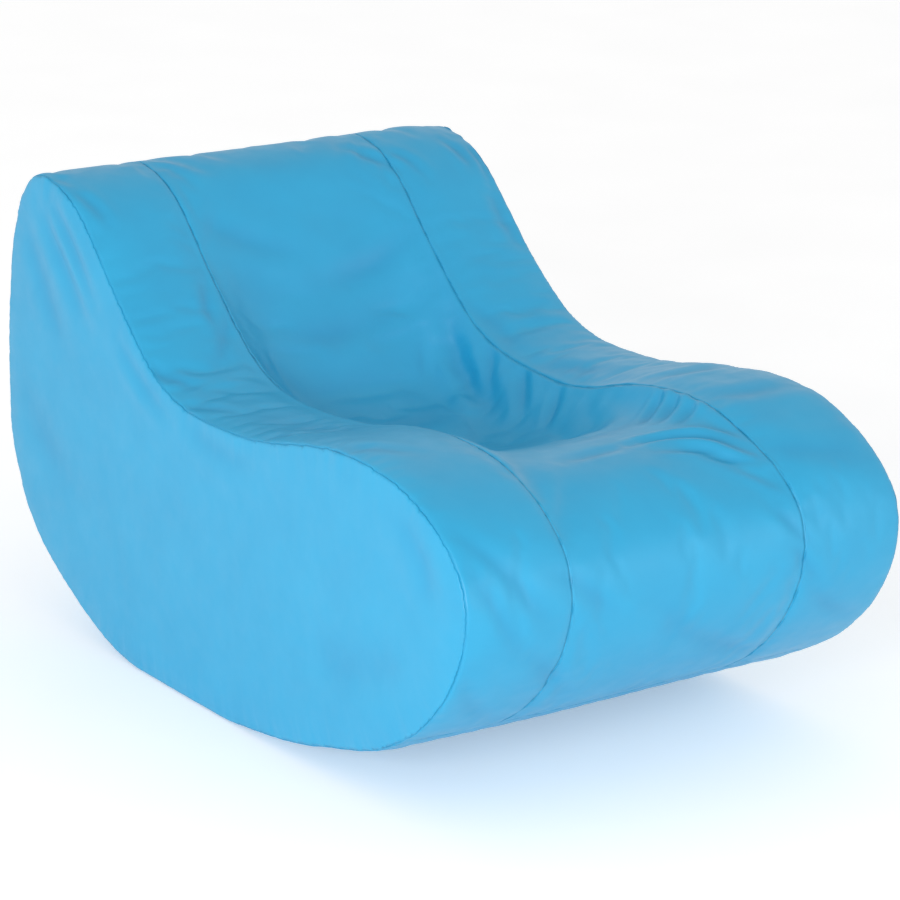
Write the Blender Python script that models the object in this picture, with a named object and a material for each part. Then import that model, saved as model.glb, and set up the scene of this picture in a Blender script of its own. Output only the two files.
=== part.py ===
"""Bean bag lounger: a wipe-clean cover of seven sewn panels around three bags of beads.

Frame: metres, +Z up. The chair faces -Y, its width runs along X, and the origin is on the floor
under the middle of the chair. Every panel, bag and wall follows one side outline in the YZ plane.
A station is a length along that outline, counted from the top ridge over the seat to the front,
back under the chair and up the back. A depth is measured inwards from the outline.
"""
import math

import bmesh
import bpy
from mathutils import Matrix, Vector

# Overall shape
WIDTH = 0.800
SEAM_X = 0.215            # the two long seams between the bolsters and the centre strip
# Side outline: (y, z, heading in degrees from +Y towards +Z), joined by arc-like curves
OUTLINE = [
    (0.556, 0.785, 180.0),    # ridge
    (0.446, 0.753, 211.0),
    (0.330, 0.646, 223.5),
    (0.200, 0.532, 215.0),
    (0.010, 0.485, 180.0),    # lowest point of the seat
    (-0.185, 0.502, 168.0),
    (-0.385, 0.532, 180.0),   # crest of the front roll
    (-0.560, 0.509, 200.0),
    (-0.668, 0.443, 226.0),
    (-0.702, 0.368, 269.0),   # front
    (-0.668, 0.256, 300.0),
    (-0.592, 0.168, 318.0),
    (-0.494, 0.105, 331.0),
    (-0.310, 0.047, 344.5),
    (-0.140, 0.014, 353.0),
    (0.000, 0.000, 0.0),      # the flat stretch that meets the floor
    (0.250, 0.000, 0.0),
    (0.511, 0.079, 28.5),
    (0.661, 0.2095, 64.0),    # a straight stretch for the zip
    (0.683, 0.2545, 64.0),
    (0.702, 0.385, 90.0),     # back
    (0.684, 0.590, 100.0),
    (0.640, 0.725, 118.0),
]
CURVE_STEPS = 24
STATION_STEP = 0.048

# Where the panels meet, as points on the outline
FRONT_SEAM = (-0.510, 0.114)
ZIP_LINE = (0.672, 0.232)
BACK_SEAM = (0.655, 0.690)

# How far the centre strip has sunk between the bolsters: (point on the outline, depth)
SUNK = [
    ((0.480, 0.770), 0.000),
    ((0.380, 0.692), 0.022),
    ((0.250, 0.572), 0.062),
    ((0.120, 0.500), 0.095),
    ((-0.050, 0.487), 0.105),
    ((-0.200, 0.505), 0.090),
    ((-0.330, 0.529), 0.065),
    ((-0.450, 0.531), 0.035),
    ((-0.600, 0.490), 0.012),
    ((-0.690, 0.420), 0.000),
]
SUNK_EDGE_POWER = 4.0     # how steep the sunk strip's walls are beside the long seams
SUNK_HALF_WIDTH = 0.212
CENTRE_COLUMNS = [0.50, 0.70, 0.85, 0.94, 1.0]

# Sheet thicknesses and the gap left between neighbours
COVER = 0.0012
BAG = 0.0008
WALL = 0.0008
GAP = 0.0004

# Filling mouths of the bead bags
MOUTH_HALF_WIDTH = 0.055
MOUTH_POINT = (0.698, 0.480)

# Zip across the lower back
ZIP_HALF_LENGTH = 0.330
ZIP_WINDOW_HALF = 0.0075
ZIP_POCKET_DEPTH = 0.0055
ZIP_POCKET_HALF = 0.020
ZIP_POCKET_FADE = 0.030
WINDOW_CUT_HALF = 0.0048  # half the height of the cutter that opens the cover over the zip
TAPE_INNER = 0.0013
TAPE_OUTER = 0.0155
TAPE_THICKNESS = 0.0006
COIL_INNER = 0.0007
COIL_OUTER = 0.0034
COIL_LOW = -0.0012
COIL_HIGH = 0.0008
STOP_LENGTH = 0.004
SLIDER_LENGTH = 0.015
SLIDER_HALF_WIDTH = 0.0052
SLIDER_WEB = 0.0006
SLIDER_PLATE = 0.0010
SLIDER_CLEARANCE = 0.0003
SLIDER_PARKED_X = 0.315
# Places on the slider, as shares of its half length and half width
SHIELD = [(-1.0, 0.70), (-0.1, 1.0), (0.7, 1.0), (1.0, 0.55)]
FLANGE_SPAN = (-0.1, 0.7)
WEB_SPAN = (-0.5, 0.9)
EAR_SPAN = (-0.75, -0.40)
HINGE_PLACE = -0.57
LOCK_LENGTH = 0.0085
LOCK_WIDTH = 0.0020
LOCK_THICKNESS = 0.0006
LOCK_LIFT = 0.0012
LOCK_TAIL = 0.0009        # the lever's end behind its hinge
PIN_LENGTH = 0.0020
PIN_HOLE_LENGTH = 0.0026
GARAGE_START = 0.298
GARAGE_END = 0.338
GARAGE_HALF_WIDTH = 0.0170
GARAGE_WALL = 0.0008
GARAGE_HEIGHT = 0.0062

COVER_BLUE = (0.078, 0.440, 0.761, 1.0)
COIL_BLUE = (0.055, 0.330, 0.600, 1.0)
BAG_WHITE = (0.780, 0.780, 0.760, 1.0)
BEAD_WHITE = (0.900, 0.900, 0.890, 1.0)
STEEL = (0.560, 0.560, 0.570, 1.0)


def clear_scene():
    for obj in list(bpy.data.objects):
        bpy.data.objects.remove(obj, do_unlink=True)


def make_material(name, colour, roughness, metallic=0.0):
    material = bpy.data.materials.new(name)
    material.use_nodes = True
    shader = material.node_tree.nodes["Principled BSDF"]
    shader.inputs["Base Color"].default_value = colour
    shader.inputs["Roughness"].default_value = roughness
    shader.inputs["Metallic"].default_value = metallic
    return material


def add_object(name, points, faces, material, parent=None):
    """A mesh object from points and faces, with its faces turned outwards."""
    mesh = bpy.data.meshes.new(name)
    mesh.from_pydata([tuple(p) for p in points], [], faces)
    mesh.materials.append(material)
    shape = bmesh.new()
    shape.from_mesh(mesh)
    bmesh.ops.recalc_face_normals(shape, faces=shape.faces)
    shape.to_mesh(mesh)
    shape.free()
    obj = bpy.data.objects.new(name, mesh)
    bpy.context.scene.collection.objects.link(obj)
    obj.parent = parent
    return obj


# --- The side outline -------------------------------------------------------------------------


def curve_between(start, end):
    """Points along the curve from one outline knot to the next, without the last one."""
    turn = math.radians((end[2] - start[2] + 180.0) % 360.0 - 180.0)
    chord = math.hypot(end[0] - start[0], end[1] - start[1])
    reach = chord / 3.0
    if abs(turn) > 1e-3:
        reach = chord * 2.0 / 3.0 * math.tan(turn / 4.0) / math.sin(turn / 2.0)
    first, last = (Vector(knot[:2]) for knot in (start, end))
    leave = Vector((math.cos(math.radians(start[2])), math.sin(math.radians(start[2]))))
    arrive = Vector((math.cos(math.radians(end[2])), math.sin(math.radians(end[2]))))
    handle_a, handle_b = first + leave * reach, last - arrive * reach
    points = []
    for step in range(CURVE_STEPS):
        t = step / CURVE_STEPS
        points.append(
            first * (1 - t) ** 3
            + handle_a * 3 * t * (1 - t) ** 2
            + handle_b * 3 * t * t * (1 - t)
            + last * t**3
        )
    return points


def trace_outline():
    """The whole outline as a dense closed line, and the station of each of its points."""
    line = []
    for start, end in zip(OUTLINE, OUTLINE[1:] + OUTLINE[:1]):
        line += curve_between(start, end)
    line.append(line[0])
    stations = [0.0]
    for here, after in zip(line, line[1:]):
        stations.append(stations[-1] + (after - here).length)
    return line, stations


LINE, LINE_STATIONS = trace_outline()
LENGTH = LINE_STATIONS[-1]


def outline_at(station):
    """The outline's point and outward normal at a station, each as a vector (y, z)."""
    station %= LENGTH
    low, high = 0, len(LINE) - 1
    while high - low > 1:
        middle = (low + high) // 2
        if LINE_STATIONS[middle] <= station:
            low = middle
        else:
            high = middle
    share = (station - LINE_STATIONS[low]) / (LINE_STATIONS[high] - LINE_STATIONS[low])
    along = (LINE[high] - LINE[low]).normalized()
    return LINE[low].lerp(LINE[high], share), Vector((along.y, -along.x))


def station_of(point):
    """The station of the outline's point nearest to (y, z)."""
    target = Vector(point)
    nearest = min(range(len(LINE) - 1), key=lambda i: (LINE[i] - target).length)
    return LINE_STATIONS[nearest]


def spread(start, end):
    """Evenly spaced stations from start to end, both included."""
    count = max(1, math.ceil((end - start) / STATION_STEP))
    return [start + (end - start) * i / count for i in range(count + 1)]


FRONT = station_of(FRONT_SEAM)
ZIP = station_of(ZIP_LINE)
BACK = station_of(BACK_SEAM)
MOUTH = station_of(MOUTH_POINT)
ZIP_STATIONS = [
    ZIP - ZIP_POCKET_HALF - ZIP_POCKET_FADE,
    ZIP - ZIP_POCKET_HALF,
    ZIP,
    ZIP + ZIP_POCKET_HALF,
    ZIP + ZIP_POCKET_HALF + ZIP_POCKET_FADE,
]
STRIP_STATIONS = spread(BACK - LENGTH, FRONT)
BASE_STATIONS = spread(FRONT, ZIP_STATIONS[0])[:-1] + ZIP_STATIONS[:3]
BACK_STATIONS = ZIP_STATIONS[2:-1] + spread(ZIP_STATIONS[-1], BACK)
RING_STATIONS = STRIP_STATIONS[:-1] + BASE_STATIONS[:-1] + BACK_STATIONS[:-1]


def sunk_depth(station):
    """How deep the middle of the centre strip has sunk at a station."""
    knots = [(station_of(point), depth) for point, depth in SUNK]
    station = (station + LENGTH / 2) % LENGTH - LENGTH / 2
    if not knots[0][0] < station < knots[-1][0]:
        return 0.0
    for (a, depth_a), (b, depth_b) in zip(knots, knots[1:]):
        if station <= b:
            t = (station - a) / (b - a)
            return depth_a + (depth_b - depth_a) * t * t * (3 - 2 * t)
    return 0.0


def sunk_share(x):
    """The part of the sunk depth that is reached at x: all of it in the middle, none at the seams."""
    return 1.0 - min(1.0, abs(x) / SUNK_HALF_WIDTH) ** SUNK_EDGE_POWER


def pocket_depth(station):
    """The extra depth that the inner layers keep behind the zip."""
    away = abs(station % LENGTH - ZIP)
    fade = (ZIP_POCKET_HALF + ZIP_POCKET_FADE - away) / ZIP_POCKET_FADE
    return ZIP_POCKET_DEPTH * min(1.0, max(0.0, fade))


def surface_point(station, x, depth, sunk=False, inner=False):
    """A point at the given depth under the cover's surface."""
    point, normal = outline_at(station)
    if sunk:
        depth += sunk_depth(station) * sunk_share(x)
    if inner:
        depth += pocket_depth(station)
    point = point - normal * depth
    return Vector((x, point.x, point.y))


# --- Sheets, bags and fillings ----------------------------------------------------------------


def make_sheet(name, stations, columns, material, sunk=False):
    """A cover panel: a sheet as thick as the cover between two stations and two widths."""
    points = [
        surface_point(s, x, depth, sunk) for depth in (0.0, COVER) for s in stations for x in columns
    ]
    rows, across = len(stations), len(columns)
    inner = rows * across
    faces = []
    for i in range(rows - 1):
        for j in range(across - 1):
            a, b = i * across + j, (i + 1) * across + j
            faces += split_face(a, b, b + 1, a + 1)
            faces += split_face(inner + a, inner + b, inner + b + 1, inner + a + 1)
        for j in (0, across - 1):
            a, b = i * across + j, (i + 1) * across + j
            faces.append((a, b, inner + b, inner + a))
    for i in (0, rows - 1):
        for j in range(across - 1):
            a = i * across + j
            faces.append((a, a + 1, inner + a + 1, inner + a))
    return add_object(name, points, faces, material)


def make_side(name, side, material):
    """A flat side panel with the whole outline, on the side of X given by the sign."""
    rings = [
        [surface_point(s, side * x, 0.0) for s in RING_STATIONS] for x in (WIDTH / 2, WIDTH / 2 - COVER)
    ]
    return add_object(name, rings[0] + rings[1], prism_faces(2, len(RING_STATIONS)), material)


def make_wall(name, x, material):
    """An upright fabric wall inside the cover, sewn into a long seam."""
    rings = [
        [surface_point(s, x + dx, COVER + GAP, inner=True) for s in RING_STATIONS]
        for dx in (-WALL / 2, WALL / 2)
    ]
    return add_object(name, rings[0] + rings[1], prism_faces(2, len(RING_STATIONS)), material)


def split_face(a, b, c, d):
    """Two triangles in place of a four-sided face, so that nested layers bend alike."""
    return [(a, b, c), (a, c, d)]


def prism_faces(columns, around, opening=None):
    """Faces of a closed prism made of equal rings of points, one ring for each column.

    An opening, given as (column, place on the ring), leaves that one face out.
    """
    faces = [tuple(range(around)), tuple((columns - 1) * around + i for i in range(around))]
    for j in range(columns - 1):
        for i in range(around):
            a, b = j * around + i, j * around + (i + 1) % around
            if (j, i) != opening:
                faces += split_face(a, b, b + around, a + around)
    return faces


def make_filling(name, columns, material, sunk):
    """The beads of one bag, as the solid that they fill."""
    depth = COVER + GAP + BAG + GAP
    points = [
        surface_point(s, x, depth, sunk, inner=True) for x in columns for s in RING_STATIONS
    ]
    faces = prism_faces(len(columns), len(RING_STATIONS))
    return add_object(name, points, faces, material)


def mouth_row():
    """The number of the ring stretch that holds the filling mouths."""
    return min(
        range(len(RING_STATIONS) - 1), key=lambda i: abs(RING_STATIONS[i] % LENGTH - MOUTH)
    )


def make_bag(name, outer_columns, material, sunk):
    """A thin closed bag with a filling mouth in its back, which the closing strip shuts."""
    around, count = len(RING_STATIONS), len(outer_columns)
    inner_columns = [outer_columns[0] + BAG] + outer_columns[1:-1] + [outer_columns[-1] - BAG]
    points = []
    for columns, depth in ((outer_columns, COVER + GAP), (inner_columns, COVER + GAP + BAG)):
        points += [
            surface_point(s, x, depth, sunk, inner=True) for x in columns for s in RING_STATIONS
        ]
    opening = (count // 2 - 1, mouth_row())
    corner = opening[0] * around + opening[1]
    mouth = (corner, corner + 1, corner + 1 + around, corner + around)
    faces = prism_faces(count, around, opening)
    shift = count * around
    faces += [tuple(shift + i for i in face) for face in faces]
    for a, b in zip(mouth, mouth[1:] + mouth[:1]):
        faces.append((a, b, shift + b, shift + a))
    return add_object(name, points, faces, material)


def make_closing(name, left, right, material):
    """The strip that shuts a bag's filling mouth, level with the bag's wall."""
    row = mouth_row()
    stations = (RING_STATIONS[row] + GAP, RING_STATIONS[row + 1] - GAP)
    rings = []
    for depth in (COVER + GAP, COVER + GAP + BAG):
        for s in stations:
            rings.append([surface_point(s, x, depth, inner=True) for x in (left + GAP, right - GAP)])
    top_a, top_b, low_a, low_b = rings
    points = top_a + top_b[::-1] + low_a + low_b[::-1]
    return add_object(name, points, prism_faces(2, 4), material)


# --- The zip ----------------------------------------------------------------------------------


def zip_frame():
    """Axes of the zip: X along it, Y down the cover, Z out of the cover, at its middle."""
    point, normal = outline_at(ZIP)
    out = Vector((0.0, normal.x, normal.y))
    along = Vector((1.0, 0.0, 0.0))
    down = out.cross(along)
    axes = Matrix((along, down, out)).transposed().to_4x4()
    return Matrix.Translation((0.0, point.x, point.y)) @ axes


def box_points(low, high):
    return [(x, y, z) for x in (low[0], high[0]) for y in (low[1], high[1]) for z in (low[2], high[2])]


BOX_FACES = [(0, 1, 3, 2), (4, 6, 7, 5), (0, 4, 5, 1), (2, 3, 7, 6), (0, 2, 6, 4), (1, 5, 7, 3)]


def add_box(name, low, high, material, parent):
    return add_object(name, box_points(low, high), BOX_FACES, material, parent)


def add_plate(name, outline, low, high, material, parent):
    """A flat plate with the given (x, y) outline between two heights."""
    points = [(x, y, z) for z in (low, high) for x, y in outline]
    return add_object(name, points, prism_faces(2, len(outline)), material, parent)


def hide_helper(obj):
    obj.hide_render = True
    obj.display_type = "WIRE"


def add_boolean(obj, other, operation):
    modifier = obj.modifiers.new(f"{operation.lower()}_{other.name}", "BOOLEAN")
    modifier.operation = operation
    modifier.solver = "EXACT"
    modifier.object = other
    hide_helper(other)


def cut_zip_window(panel, frame, material):
    """Cuts the panel back from the zip, between the zip's two ends."""
    reach = ZIP_HALF_LENGTH + STOP_LENGTH + 2 * GAP
    cutter = add_box(
        f"zip_window_{panel.name}",
        (-reach, -ZIP_WINDOW_HALF, -WINDOW_CUT_HALF),
        (reach, ZIP_WINDOW_HALF, WINDOW_CUT_HALF),
        material,
        frame,
    )
    add_boolean(panel, cutter, "DIFFERENCE")


def make_zip_rows(frame, tape_material, coil_material, stop_material):
    """Both halves of the zip, each a tape with its row of teeth, and the stops at its ends."""
    tape_high = -COVER - GAP
    for name, side in (("upper", -1), ("lower", 1)):
        tape = sorted((side * TAPE_INNER, side * TAPE_OUTER))
        add_box(
            f"zip_tape_{name}",
            (-ZIP_HALF_LENGTH, tape[0], tape_high - TAPE_THICKNESS),
            (ZIP_HALF_LENGTH, tape[1], tape_high),
            tape_material,
            frame,
        )
        coil = sorted((side * COIL_INNER, side * COIL_OUTER))
        add_box(
            f"zip_teeth_{name}",
            (-ZIP_HALF_LENGTH, coil[0], COIL_LOW),
            (ZIP_HALF_LENGTH, coil[1], COIL_HIGH),
            coil_material,
            frame,
        )
    for name, side in (("left", -1), ("right", 1)):
        stop = sorted((side * (ZIP_HALF_LENGTH + GAP), side * (ZIP_HALF_LENGTH + GAP + STOP_LENGTH)))
        add_box(
            f"zip_stop_{name}",
            (stop[0], -COIL_OUTER, COIL_LOW),
            (stop[1], COIL_OUTER, COIL_HIGH),
            stop_material,
            frame,
        )


def make_slider(parked, material):
    """The slider: two plates joined by a web that runs between the rows of teeth."""
    half, wide = SLIDER_LENGTH / 2, SLIDER_HALF_WIDTH
    shield = [(half * x, -wide * y) for x, y in SHIELD] + [(half * x, wide * y) for x, y in SHIELD[::-1]]
    top_low = COIL_HIGH + SLIDER_CLEARANCE
    top_high = top_low + SLIDER_PLATE
    under_high = -COVER - GAP - TAPE_THICKNESS - SLIDER_CLEARANCE
    under_low = under_high - SLIDER_PLATE
    slider = add_plate("zip_slider", shield, top_low, top_high, material, parked)
    under = add_plate("slider_under_plate", shield, under_low, under_high, material, parked)
    bury = SLIDER_PLATE / 2
    web = add_box(
        "slider_web",
        (WEB_SPAN[0] * half, -SLIDER_WEB / 2, under_low + bury),
        (WEB_SPAN[1] * half, SLIDER_WEB / 2, top_low + bury),
        material,
        parked,
    )
    helpers = [web, under]
    flange_inner = COIL_OUTER + SLIDER_CLEARANCE
    for side in (-1, 1):
        flange = sorted((side * flange_inner, side * (wide - SLIDER_CLEARANCE)))
        helpers.append(
            add_box(
                f"slider_flange_{side}",
                (FLANGE_SPAN[0] * half, flange[0], -COVER),
                (FLANGE_SPAN[1] * half, flange[1], top_low + bury),
                material,
                parked,
            )
        )
        ear = sorted((side * (LOCK_WIDTH / 2 + SLIDER_CLEARANCE), side * (LOCK_WIDTH + SLIDER_CLEARANCE)))
        helpers.append(
            add_box(
                f"slider_ear_{side}",
                (EAR_SPAN[0] * half, ear[0], top_low + bury),
                (EAR_SPAN[1] * half, ear[1], top_high + LOCK_LIFT + LOCK_THICKNESS),
                material,
                parked,
            )
        )
    for helper in helpers:
        add_boolean(slider, helper, "UNION")
    hole = add_box(
        "slider_pin_hole",
        (
            LOCK_LENGTH / 2 - PIN_HOLE_LENGTH,
            -LOCK_WIDTH / 2 - SLIDER_CLEARANCE,
            top_low - SLIDER_CLEARANCE / 2,
        ),
        (LOCK_LENGTH / 2, LOCK_WIDTH / 2 + SLIDER_CLEARANCE, top_high + SLIDER_CLEARANCE),
        material,
        parked,
    )
    add_boolean(slider, hole, "DIFFERENCE")
    return top_high


def make_lock(parked, plate_top, material):
    """The sprung lever whose pin holds the slider, hinged between the slider's two ears."""
    hinge_x = HINGE_PLACE * SLIDER_LENGTH / 2
    hinge_z = plate_top + LOCK_LIFT / 2 + LOCK_THICKNESS / 2
    low = -LOCK_THICKNESS / 2
    high = LOCK_THICKNESS / 2
    end = LOCK_LENGTH / 2 - SLIDER_CLEARANCE - hinge_x
    pin_start = end - PIN_LENGTH
    pin_tip = plate_top - SLIDER_PLATE - hinge_z + SLIDER_CLEARANCE / 2
    profile = [
        (-LOCK_TAIL, low),
        (pin_start, low),
        (pin_start, pin_tip),
        (end, pin_tip),
        (end, high),
        (-LOCK_TAIL, high),
    ]
    half = LOCK_WIDTH / 2
    points = [(x, y, z) for y in (-half, half) for x, z in profile]
    lock = add_object("zip_lock_lever", points, prism_faces(2, len(profile)), material, parked)
    lock.location = (hinge_x, 0.0, hinge_z)


def make_garage(frame, material):
    """The fabric hood, sewn over the closed end of the zip, that the parked slider sits under."""
    hood = add_box(
        "zip_garage",
        (GARAGE_START, -GARAGE_HALF_WIDTH, GAP),
        (GARAGE_END, GARAGE_HALF_WIDTH, GARAGE_HEIGHT),
        material,
        frame,
    )
    room = add_box(
        "garage_room",
        (GARAGE_START - GARAGE_WALL, -GARAGE_HALF_WIDTH + GARAGE_WALL, -GAP),
        (GARAGE_END - GARAGE_WALL, GARAGE_HALF_WIDTH - GARAGE_WALL, GARAGE_HEIGHT - GARAGE_WALL),
        material,
        frame,
    )
    add_boolean(hood, room, "DIFFERENCE")


# --- The whole chair --------------------------------------------------------------------------


def mirrored(columns):
    return [-x for x in reversed(columns)]


def bag_columns(edge):
    """Columns of the right bolster's bag or filling, its X limits inset by edge."""
    left = SEAM_X + WALL / 2 + GAP + edge
    right = WIDTH / 2 - COVER - GAP - edge
    middle = (left + right) / 2
    return [left, middle - MOUTH_HALF_WIDTH, middle + MOUTH_HALF_WIDTH, right]


def centre_columns(edge):
    """Columns of a sheet or solid of the centre strip, its two edges inset from the seams."""
    right = [MOUTH_HALF_WIDTH] + [SUNK_HALF_WIDTH * c for c in CENTRE_COLUMNS] + [SEAM_X - edge]
    return mirrored(right) + right


def make_cover(material):
    seam_side = SEAM_X + GAP / 2
    edge = WIDTH / 2 - COVER - GAP
    make_side("left_side_panel", -1, material)
    make_side("right_side_panel", 1, material)
    make_sheet("right_bolster_panel", STRIP_STATIONS, [seam_side, edge], material)
    make_sheet("left_bolster_panel", STRIP_STATIONS, [-edge, -seam_side], material)
    make_sheet("centre_panel", STRIP_STATIONS, centre_columns(GAP / 2), material, sunk=True)
    base_rows = [FRONT + GAP] + BASE_STATIONS[1:-1] + [ZIP - GAP / 2]
    back_rows = [ZIP + GAP / 2] + BACK_STATIONS[1:-1] + [BACK - GAP]
    base = make_sheet("base_panel", base_rows, [-edge, edge], material)
    back = make_sheet("back_panel", back_rows, [-edge, edge], material)
    return base, back


def make_inside(bag_material, bead_material):
    for name, side in (("left", -1), ("right", 1)):
        make_wall(f"{name}_inner_wall", side * SEAM_X, bag_material)
        bag, beads = bag_columns(0.0), bag_columns(BAG + GAP)
        if side < 0:
            bag, beads = mirrored(bag), mirrored(beads)
        make_bag(f"{name}_bead_bag", bag, bag_material, sunk=False)
        make_closing(f"{name}_bag_closing_strip", bag[1], bag[2], bag_material)
        make_filling(f"{name}_bead_filling", [beads[0], beads[-1]], bead_material, sunk=False)
    inset = WALL / 2 + GAP
    make_bag("centre_bead_bag", centre_columns(inset), bag_material, sunk=True)
    make_closing("centre_bag_closing_strip", -MOUTH_HALF_WIDTH, MOUTH_HALF_WIDTH, bag_material)
    make_filling("centre_bead_filling", centre_columns(inset + BAG + GAP), bead_material, sunk=True)


def main():
    clear_scene()
    vinyl = make_material("cover_vinyl", COVER_BLUE, 0.42)
    tape = make_material("zip_tape_polyester", COIL_BLUE, 0.80)
    teeth = make_material("zip_teeth_nylon", COIL_BLUE, 0.45)
    steel = make_material("zip_steel", STEEL, 0.35, 1.0)
    lining = make_material("lining_polyester", BAG_WHITE, 0.85)
    beads = make_material("polystyrene_beads", BEAD_WHITE, 0.70)

    base, back = make_cover(vinyl)
    make_inside(lining, beads)

    frame = bpy.data.objects.new("zip_frame", None)
    bpy.context.scene.collection.objects.link(frame)
    frame.matrix_world = zip_frame()
    parked = bpy.data.objects.new("slider_parked", None)
    bpy.context.scene.collection.objects.link(parked)
    parked.parent = frame
    parked.location = (SLIDER_PARKED_X, 0.0, 0.0)

    cut_zip_window(base, frame, vinyl)
    cut_zip_window(back, frame, vinyl)
    make_zip_rows(frame, tape, teeth, steel)
    plate_top = make_slider(parked, steel)
    make_lock(parked, plate_top, steel)
    make_garage(frame, vinyl)


main()
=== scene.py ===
"""Looks of a bean bag chair: a sewn vinyl cover, three bead bags inside it and the zip low in its back."""

from __future__ import annotations

import logging
import math
from dataclasses import dataclass, field
from enum import Enum

import bmesh
import bpy
import numpy as np
from mathutils import Matrix, Vector, noise
from mathutils.geometry import delaunay_2d_cdt
from mathutils.kdtree import KDTree

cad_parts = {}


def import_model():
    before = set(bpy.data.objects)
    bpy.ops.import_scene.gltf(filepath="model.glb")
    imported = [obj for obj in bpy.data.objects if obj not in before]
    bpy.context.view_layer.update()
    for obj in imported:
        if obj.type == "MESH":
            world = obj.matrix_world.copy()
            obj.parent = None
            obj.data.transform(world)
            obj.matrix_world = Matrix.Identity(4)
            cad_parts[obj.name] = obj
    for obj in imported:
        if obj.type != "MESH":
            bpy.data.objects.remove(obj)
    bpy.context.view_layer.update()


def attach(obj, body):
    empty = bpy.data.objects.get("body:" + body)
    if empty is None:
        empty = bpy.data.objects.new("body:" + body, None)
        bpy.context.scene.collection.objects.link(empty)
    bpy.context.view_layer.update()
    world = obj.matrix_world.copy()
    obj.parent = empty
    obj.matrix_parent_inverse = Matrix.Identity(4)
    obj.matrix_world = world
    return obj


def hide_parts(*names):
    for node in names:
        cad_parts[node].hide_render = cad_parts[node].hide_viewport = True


LOG = logging.getLogger("bean_bag_chair")

CHAIR = "chair"
SLIDER = "slider"
LEVER = "lock_lever"

# metres: the chair's width, the long seams' distance from its middle, the vinyl's thickness, the least
# clearance between pieces and half the width of the hollow
WIDTH = 0.800
SEAM_X = 0.215
COVER = 0.0012
GAP = 0.0004
SUNK_HALF_WIDTH = 0.212


def linear(colour: str) -> tuple[float, float, float, float]:
    """An sRGB hex colour as linear red, green, blue and alpha.

    Args:
        colour: six hex digits after a hash.

    Returns:
        The four channels, with alpha 1.
    """
    parts = [int(colour[i : i + 2], 16) / 255 for i in (1, 3, 5)]
    red, green, blue = (p / 12.92 if p <= 0.04045 else ((p + 0.055) / 1.055) ** 2.4 for p in parts)
    return (red, green, blue, 1.0)


def smooth(share: np.ndarray) -> np.ndarray:
    """Smooth step of a share that may lie outside 0 to 1."""
    t = np.clip(share, 0.0, 1.0)
    return t * t * (3.0 - 2.0 * t)


def hump(x: np.ndarray, middle: float, width: float) -> np.ndarray:
    """A bell curve of height 1 round a middle."""
    return np.exp(-(((x - middle) / width) ** 2))


# --- Finishes ---------------------------------------------------------------------------------


def add_node(
    tree: bpy.types.NodeTree,
    kind: str,
    inputs: dict[str | int, object] | None = None,
    **settings: object,
) -> bpy.types.Node:
    """Adds a node with its settings, values and links.

    Args:
        tree: the material's or world's node tree.
        kind: the node's type.
        inputs: what each input takes, a socket to link or a value to set.
        settings: the node's own properties.

    Returns:
        The new node.
    """
    node = tree.nodes.new(kind)
    for name, value in settings.items():
        setattr(node, name, value)
    for name, value in (inputs or {}).items():
        if isinstance(value, bpy.types.NodeSocket):
            tree.links.new(value, node.inputs[name])
        else:
            node.inputs[name].default_value = value
    return node


def new_material(name: str) -> tuple[bpy.types.Material, bpy.types.NodeTree, bpy.types.NodeSocket]:
    """An empty material, its node tree and the socket of its Object coordinates."""
    material = bpy.data.materials.new(name)
    material.use_nodes = True
    material.node_tree.nodes.clear()
    place = add_node(material.node_tree, "ShaderNodeTexCoord").outputs["Object"]
    return material, material.node_tree, place


def end_surface(tree: bpy.types.NodeTree, inputs: dict[str | int, object]) -> None:
    """Joins a Principled shader with the given inputs to the material's output."""
    shader = add_node(tree, "ShaderNodeBsdfPrincipled", inputs)
    add_node(tree, "ShaderNodeOutputMaterial", {"Surface": shader.outputs["BSDF"]})


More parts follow.
